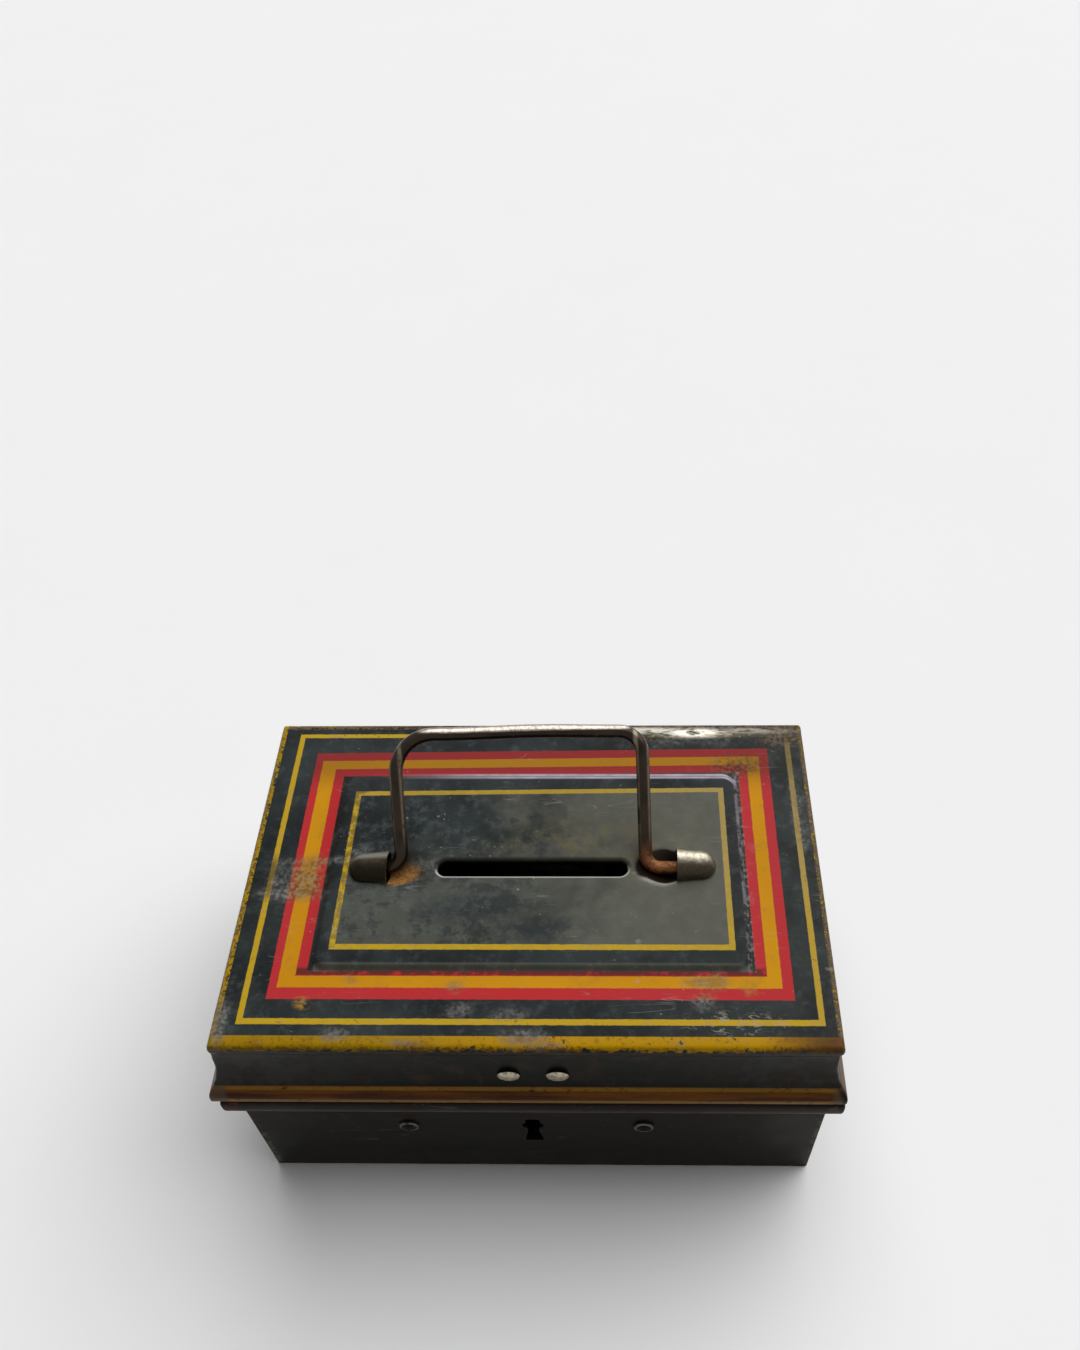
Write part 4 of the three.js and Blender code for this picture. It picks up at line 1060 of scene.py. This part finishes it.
def lid_hoods(p, rub, fine):
    """Hoods, the left one darker and with a painted highlight along its top, both with painted shade on
    their front halves and the right one at its end; gives their place and how bare they are.
    """
    masks = []
    for side in (-1, 1):
        out = (p.x - (FITTINGS_X + side * HOOD_MOUTH)) * side
        masks.append(out.step(-0.3, 0.1) * out.step(11.6, 10.6) * abs(p.y - HOOD_Y).step(5.9, 5.4)
                     * (p.z + rub * 0.5).step(77.75, 78.15))
    left, right = masks
    # Painted shade on the front halves of the hoods.
    shaded = (p.y + (rub - 0.5) * 2.4).step(1.4, -1.6)
    # Painted shade at the right hood's end.
    end = p.x.step(FITTINGS_X + HOOD_MOUTH + 7.5, FITTINGS_X + HOOD_MOUTH + 11)
    # The left hood gets a painted highlight along its top.
    p.coat(left, p.layers(fine.tones(0.35, 0.7, (70, 62, 50), (42, 34, 24)), (shaded * 0.9, (26, 21, 13)),
                          (p.y.step(0.2, 1.8) * 0.85, (128, 126, 118))))
    p.coat(right, p.layers(fine.tones(0.3, 0.75, (176, 170, 154), (134, 127, 110)),
                           (p.y.step(1.4, 3) * 0.5, (96, 92, 76)),
                           (p.most(shaded, end) * 0.9, (44, 36, 24))))
    return p.most(left, right), p.most(left * 0.35, right.less(shaded * 0.7) * 0.95)


def lid_slot(p, rub):
    """The slot's front lip, worn to bare metal and painted brighter as a highlight, with painted shade along
    its rear edge and in its throat; gives how bare the lip is.
    """
    reach = p.most(abs(p.x - FITTINGS_X) - (SLOT_LENGTH - SLOT_WIDTH) / 2, 0)
    from_slot = p.length(reach, p.y) - SLOT_WIDTH / 2
    lip = from_slot.between(-0.1, 0.7, 0.2) * p.y.step(0, -1.6) * rub.step(0.24, 0.36)
    # Painted shade along the slot's rear edge.
    p.coat(from_slot.step(1.6, 0.6) * p.y.step(-0.5, 1.5) * 0.8, (20, 18, 16))
    # The lip is worn bare and painted brighter as a highlight.
    p.coat(lip * 0.85, (168, 168, 162))
    # Painted shade in the slot's throat.
    p.coat(p.z.step(76.7, 76.3) * from_slot.step(0.3, 0.1) * 0.9, (12, 11, 10))
    return lip * 0.3


def lid_paint():
    """The whole outside of the lid: ground, lines, roll and skirt, then wear and painted sheen, dishes,
    hoods and slot.
    """
    p = Finish("lid_enamel")
    lines = painted_lines(p)
    film_and_sheen = lid_ground(p, lines.panel)
    lid_stripes(p, lines)
    chips = p.noise(2, 5, 0.72)
    grime = p.noise(7, 4, 0.65)
    roll = lid_roll(p, chips, grime)
    lid_skirt(p, chips, grime)
    rub = p.noise(4.6, 9, 0.66)
    fine = p.noise(1.1, 5, 0.6)
    scuff = lid_scuffs(p, lines, rub, fine)
    rust = lid_rust(p, rub, fine)
    # bare holds the bare metal and half of the painted sheen.
    bare = lid_bare_metal_and_sheen(p, rub)
    scuff = p.most(scuff, lid_scratches(p))
    rub = p.noise(2, 5, 0.7)
    fine = p.noise(0.9, 4, 0.7)
    rust = p.most(rust, lid_dishes(p, rub, fine))
    hoods, polished = lid_hoods(p, rub, fine)
    metal = p.most(polished, lid_slot(p, rub), bare * 0.7)
    roughness = p.blend(p.most(scuff, rust), p.blend(film_and_sheen, 0.32, 0.48), 0.75)
    roughness = p.blend(hoods, roughness, p.blend(p.noise(1.2, 4).step(0.3, 0.7), 0.26, 0.45))
    height = (p.noise(32, 2) * 0.5 + p.noise(7, 2) * 0.06 + p.noise(0.5, 2) * 0.004
              + p.most(lines.all, roll) * 0.012 - scuff * 0.02 + rust * p.noise(0.7, 4, 0.7) * 0.1
              + hoods * p.noise(3.4, 2) * 0.08)
    return p.finish(roughness, metal, height, 0.05)


# Other finishes

def body_paint():
    """Black enamel, worn at the bottom and the corners, with a brown ledge whose upper half under the lid is
    painted dark as shade and whose lower edge has a painted highlight, and a painted paler sheen near the
    right end.
    """
    p = Finish("body_enamel")
    x, z = p.x, p.z
    cloud = p.noise(24, 4, 0.6)
    rub = p.noise(2.2, 5, 0.7)
    p.color = cloud.tones(0.35, 0.65, (17, 15, 10), (27, 24, 18))
    # Painted shade: the ledge's upper half, under the lid, is dark; the lower part is brown.
    p.coat(z.between(45.2, 51.6, 0.2) * 0.9, z.tones(47.2, 48.4, (56, 46, 40), (24, 14, 10)))
    # Painted highlight along the ledge's lower edge, broken up by noise.
    p.coat(z.between(45.4, 46.8, 0.3) * rub.step(0.36, 0.56) * 0.5, (92, 86, 78))
    wear = p.noise(12).step(0.56, 0.68) * rub.step(0.52, 0.64)
    corners = abs(x).step(74.6, 75.6) * abs(p.y).step(49.6, 50.6) * rub.step(0.44, 0.58)
    edge = p.most(z.step(1.6, 0.3) * rub.step(0.42, 0.56), corners)
    # Painted sheen: a paler patch on the front near the right end.
    sheen_patch = x.between(61, 73, 5) * z.between(16, 40, 8) * cloud.step(0.3, 0.7)
    scratch = p.most(p.scratches(9, 12, (0.14, 1, 2.2)), p.scratches(6, 60, (0.2, 1, 2), cover=0.62))
    p.coat(wear * 0.35, (92, 84, 72))
    p.coat(edge * 0.7, cloud.tones(0.4, 0.6, DULL_PLATE, DARK_RUST))
    p.coat(sheen_patch * 0.5, (66, 62, 54))
    p.coat(p.most(scratch, p.specks(6, 0.12, 0.4), p.specks(2.8, 0.08, 0.2)) * 0.35, DUST)
    roughness = p.blend(p.most(wear, edge), p.blend(cloud.step(0.3, 0.7), 0.38, 0.5), 0.66)
    height = p.noise(28, 2) * 0.5 + p.noise(0.5, 2) * 0.004 - p.most(wear, scratch, edge) * 0.012
    return p.finish(roughness, edge * 0.4, height, 0.05)


def hinge_paint():
    """Enamel of the hinge leaves, thin and worn."""
    p = Finish("hinge_enamel")
    rub = p.noise(1.6, 5, 0.7)
    worn = rub.step(0.58, 0.68)
    p.color = p.noise(8, 4).tones(0.35, 0.65, (30, 29, 27), (46, 43, 39))
    p.coat(worn * 0.8, p.noise(5).tones(0.45, 0.6, DULL_PLATE, (146, 84, 36)))
    return p.finish(p.blend(worn, 0.42, 0.62), worn * 0.6, rub * 0.02 - worn * 0.02, 0.2)


def plate_finish(name, light, dark, stain, metallic=0.9):
    """Bare sheet metal: drawing lines, stains, a little rust, and painted shade behind the keyhole."""
    p = Finish(name)
    cloud = p.noise(14, 4, 0.6)
    fine = p.noise(1.2, 4, 0.65)
    grain = p.noise(1.2, 3, 0.6, stretch=(0.1, 1, 1))
    stained = p.noise(7, 5, 0.7).step(0.54, 0.66) * fine.step(0.35, 0.6)
    # Painted shade: near black behind the keyhole, on every plate part in that place.
    keyhole_shade = p.x.between(KEYHOLE_X - 7, KEYHOLE_X + 7, 2) * p.z.between(14, 37, 2)
    p.color = cloud.tones(0.35, 0.65, light, dark)
    p.coat(stained * 0.8, stain)
    p.coat(keyhole_shade * 0.95, (9, 8, 7))
    roughness = p.blend(cloud.step(0.3, 0.7), 0.32, 0.5) + stained * 0.25
    return p.finish(roughness, (1 - stained * 0.7) * metallic, grain * 0.006 + stained * fine * 0.03)


def inside_finish():
    """The inside of the lid: thin brown-gold lacquer on tin, stained in patches."""
    p = Finish("lacquered_inside")
    rub = p.noise(2.6, 5, 0.7)
    stained = p.noise(11, 4, 0.65).step(0.54, 0.66) * rub.step(0.4, 0.6)
    p.color = p.noise(20, 4, 0.6).tones(0.35, 0.65, (128, 108, 66), (96, 82, 54))
    p.coat(stained * 0.8, DARK_RUST)
    return p.finish(p.blend(stained, 0.38, 0.68), (1 - stained) * 0.7, p.noise(26, 2) * 0.3 + rub * 0.01)


def wire_finish():
    """Wire with a brown patina and rusty at one foot; painted highlights, lighter and more metallic, along
    the top of its bar and the sides of its legs.
    """
    p = Finish("bail_wire_metal")
    x, y, z = p.x, p.y, p.z
    fine = p.noise(0.9, 4, 0.65)
    cloud = p.noise(7, 3, 0.6)
    bar_y = HOOD_Y + BAIL_REACH * math.cos(math.radians(BAIL_LEAN))
    bar_z = PIVOT_Z + BAIL_REACH * math.sin(math.radians(BAIL_LEAN))
    # Painted highlight: the side of the bar that faces the light and the camera is made lighter.
    above = (z - bar_z) * 0.93 + (y - bar_y) * 0.36 + x.step(30, -38) * BAIL_DROOP
    bar = (above + (cloud - 0.5) * 0.4).step(0.85, 1.4)
    rise = (z - PIVOT_Z) / (bar_z - PIVOT_Z)
    off_leg = p.least(*(abs(x - (rise * skew + (BAIL_SHIFT + side * BAIL_WIDTH / 2)))
                        for side, skew in zip((-1, 1), BAIL_SKEW)))
    # Painted highlights along both sides of each leg.
    legs = off_leg.step(0.8, 1.5) * off_leg.step(2.6, 2) * cloud.step(0.3, 0.5) * z.step(80, 86) * 0.7
    low = z.step(84, 77.5)
    rust = p.most(low * x.step(0, 10) * fine.step(0.2, 0.5), p.noise(4, 4, 0.7).step(0.66, 0.75) * 0.6)
    p.color = cloud.tones(0.35, 0.65, (46, 36, 26), (28, 20, 13))
    p.coat(bar, fine.tones(0.4, 0.7, (166, 158, 148), (124, 114, 102)))
    p.coat(legs, (124, 112, 96))
    p.coat(rust * 0.85, fine.tones(0.4, 0.6, (146, 88, 38), (88, 48, 18)))
    p.coat(low * x.step(-10, -20) * 0.5, (40, 28, 20))
    metallic = p.blend(rust, p.blend(p.most(bar, legs), 0.6, 0.95), 0.35)
    height = fine * p.blend(rust, 0.003, 0.02) + p.noise(6, 2) * 0.05
    return p.finish(p.blend(rust, 0.26, 0.55), metallic, height, 0.3)


def stud_finish(name, light, dark):
    """Rivet heads: rubbed metal with darker pits."""
    p = Finish(name)
    fine = p.noise(0.8, 4, 0.65)
    p.color = fine.tones(0.4, 0.62, light, dark)
    return p.finish(p.blend(fine.step(0.35, 0.65), 0.34, 0.55), 0.75, fine * 0.05)


def ringed_finish():
    """The lock's tubular rivets: a thin pale ring, rubbed off in places, round a dark hollow."""
    p = Finish("ringed_studs")
    middles = [middle_of(f"lock_rivet_{word}") for word in ("left", "right")]
    away = p.least(*(p.length(p.x - middle.x, p.z - middle.z) for middle in middles))
    rub = p.noise(1.6, 4, 0.65)
    ring = away.between(2.1, 2.62) * rub.step(0.38, 0.54)
    p.color = p.mix(ring, (34, 31, 27), rub.tones(0.5, 0.62, (132, 127, 117), (88, 82, 72)))
    return p.finish(p.blend(ring, 0.6, 0.4), ring * 0.5, rub * 0.04, 0.1)


def floor_finish():
    p = Finish("floor_card")
    p.color = p.mix(p.noise(60), (240, 240, 240), (238, 238, 238))
    return p.finish(0.85, gloss=0.2)


# The scene

def make_camera():
    """The photograph's own view, from fitted corners of the lid and the body."""
    pitch, yaw, roll = (math.radians(angle) for angle in CAMERA_TURN)
    level = Matrix.Rotation(-yaw, 4, "Z") @ Matrix.Rotation(math.pi / 2 - pitch, 4, "X")
    camera = add_object("camera", bpy.data.cameras.new("camera"))
    camera.matrix_world = (Matrix.Translation(Vector(CAMERA_PLACE) * MM) @ level
                           @ Matrix.Rotation(roll, 4, "Z"))
    camera.data.sensor_width = SENSOR
    camera.data.lens = SENSOR * FOCAL_PIXELS / PHOTO_HEIGHT
    camera.data.shift_x, camera.data.shift_y = (shift / PHOTO_HEIGHT for shift in SHIFT_PIXELS)
    camera.data.clip_start = 0.01
    bpy.context.scene.camera = camera


def make_sun():
    """One very soft light from above, behind and to the right."""
    sun = add_object("key", bpy.data.lights.new("key", "SUN"))
    sun.data.angle = math.radians(KEY_SPREAD)
    sun.data.energy = KEY_POWER
    sun.rotation_mode = "QUATERNION"
    sun.rotation_quaternion = Vector(LIGHT_FROM).to_track_quat("Z", "Y")


def make_floor():
    """A large sheet of pale card."""
    bpy.ops.mesh.primitive_plane_add(size=FLOOR_SIZE)
    floor = bpy.context.active_object
    floor.name = "floor"
    floor.data.materials.append(floor_finish())


def make_world():
    """A dim glow, brightest behind and to the right; the camera and reflections see pale grey instead."""
    bpy.context.scene.world = bpy.data.worlds.new("studio")
    world = Tree(bpy.context.scene.world)
    coords = world.node("TexCoord").outputs["Generated"]
    towards = world.node("VectorMath", {0: coords, 1: Vector(LIGHT_FROM).normalized()},
                         operation="DOT_PRODUCT").outputs["Value"]
    glow = world.node("MapRange", {"Value": towards, "From Min": 0.2, "From Max": 0.97, "To Min": FILL_DARK,
                                   "To Max": FILL_LIGHT}, interpolation_type="SMOOTHSTEP").outputs[0]
    backdrop = world.nodes["Background"]
    world.feed(backdrop.inputs["Strength"], glow)
    seen = world.node("Background", {"Color": (239, 239, 239)})
    rays = world.node("LightPath").outputs
    shown = world.most(*(rays[f"Is {kind} Ray"] for kind in ("Camera", "Glossy", "Transmission")))
    mix = world.node("MixShader", {0: shown, 1: backdrop.outputs[0], 2: seen.outputs[0]})
    world.feed(world.nodes["World Output"].inputs["Surface"], mix.outputs[0])


make_camera()
make_sun()
make_floor()
make_world()
bpy.context.scene.view_settings.view_transform = "Standard"

hinge_black = hinge_paint()
plate = plate_finish("bare_plate", (150, 146, 134), (112, 106, 92), (92, 60, 36))
plain_steel = plate_finish("dark_steel", (116, 110, 100), (82, 76, 68), (72, 46, 30), 0.95)
pale_stud = stud_finish("pale_studs", (190, 182, 162), (132, 122, 102))
dark_stud = stud_finish("dark_studs", (112, 104, 92), (60, 52, 44))
ringed_stud = ringed_finish()

make_lid([lid_paint(), inside_finish()])
make_body(body_paint())
make_bail(wire_finish())

for word in ("left", "right"):
    rivet = f"catch_rivet_{word}"
    replace_rivet(rivet, CATCH_OUTWARD, CATCH_STACK, worn_profile, pale_stud, "lid", skirt_spot(rivet))
    replace_rivet(f"lock_rivet_{word}", (0, -1, 0), STACK, roll_profile, ringed_stud, "box")
    for number in (1, 2):
        for part, body, outward in (("body", "box", (0, 1, 0)), ("lid", "lid", LID_HINGE_OUTWARD)):
            rivet = f"hinge_{word}_{part}_rivet_{number}"
            replace_rivet(rivet, outward, STACK, dome_profile, dark_stud, body)
    for part in ("body", "lid"):
        dress(f"hinge_{word}_{part}_leaf", hinge_black)
    dress(f"hinge_{word}_pin", plain_steel, 0.08)
    dress(f"guide_pin_{word}", plain_steel, 0.06)
for node in ("bottom_pan", "lock_case", "catch_hook"):
    dress(node, plate)
for node in ("lock_bolt", "bolt_spring", "key_post"):
    dress(node, plain_steel, 0.08)
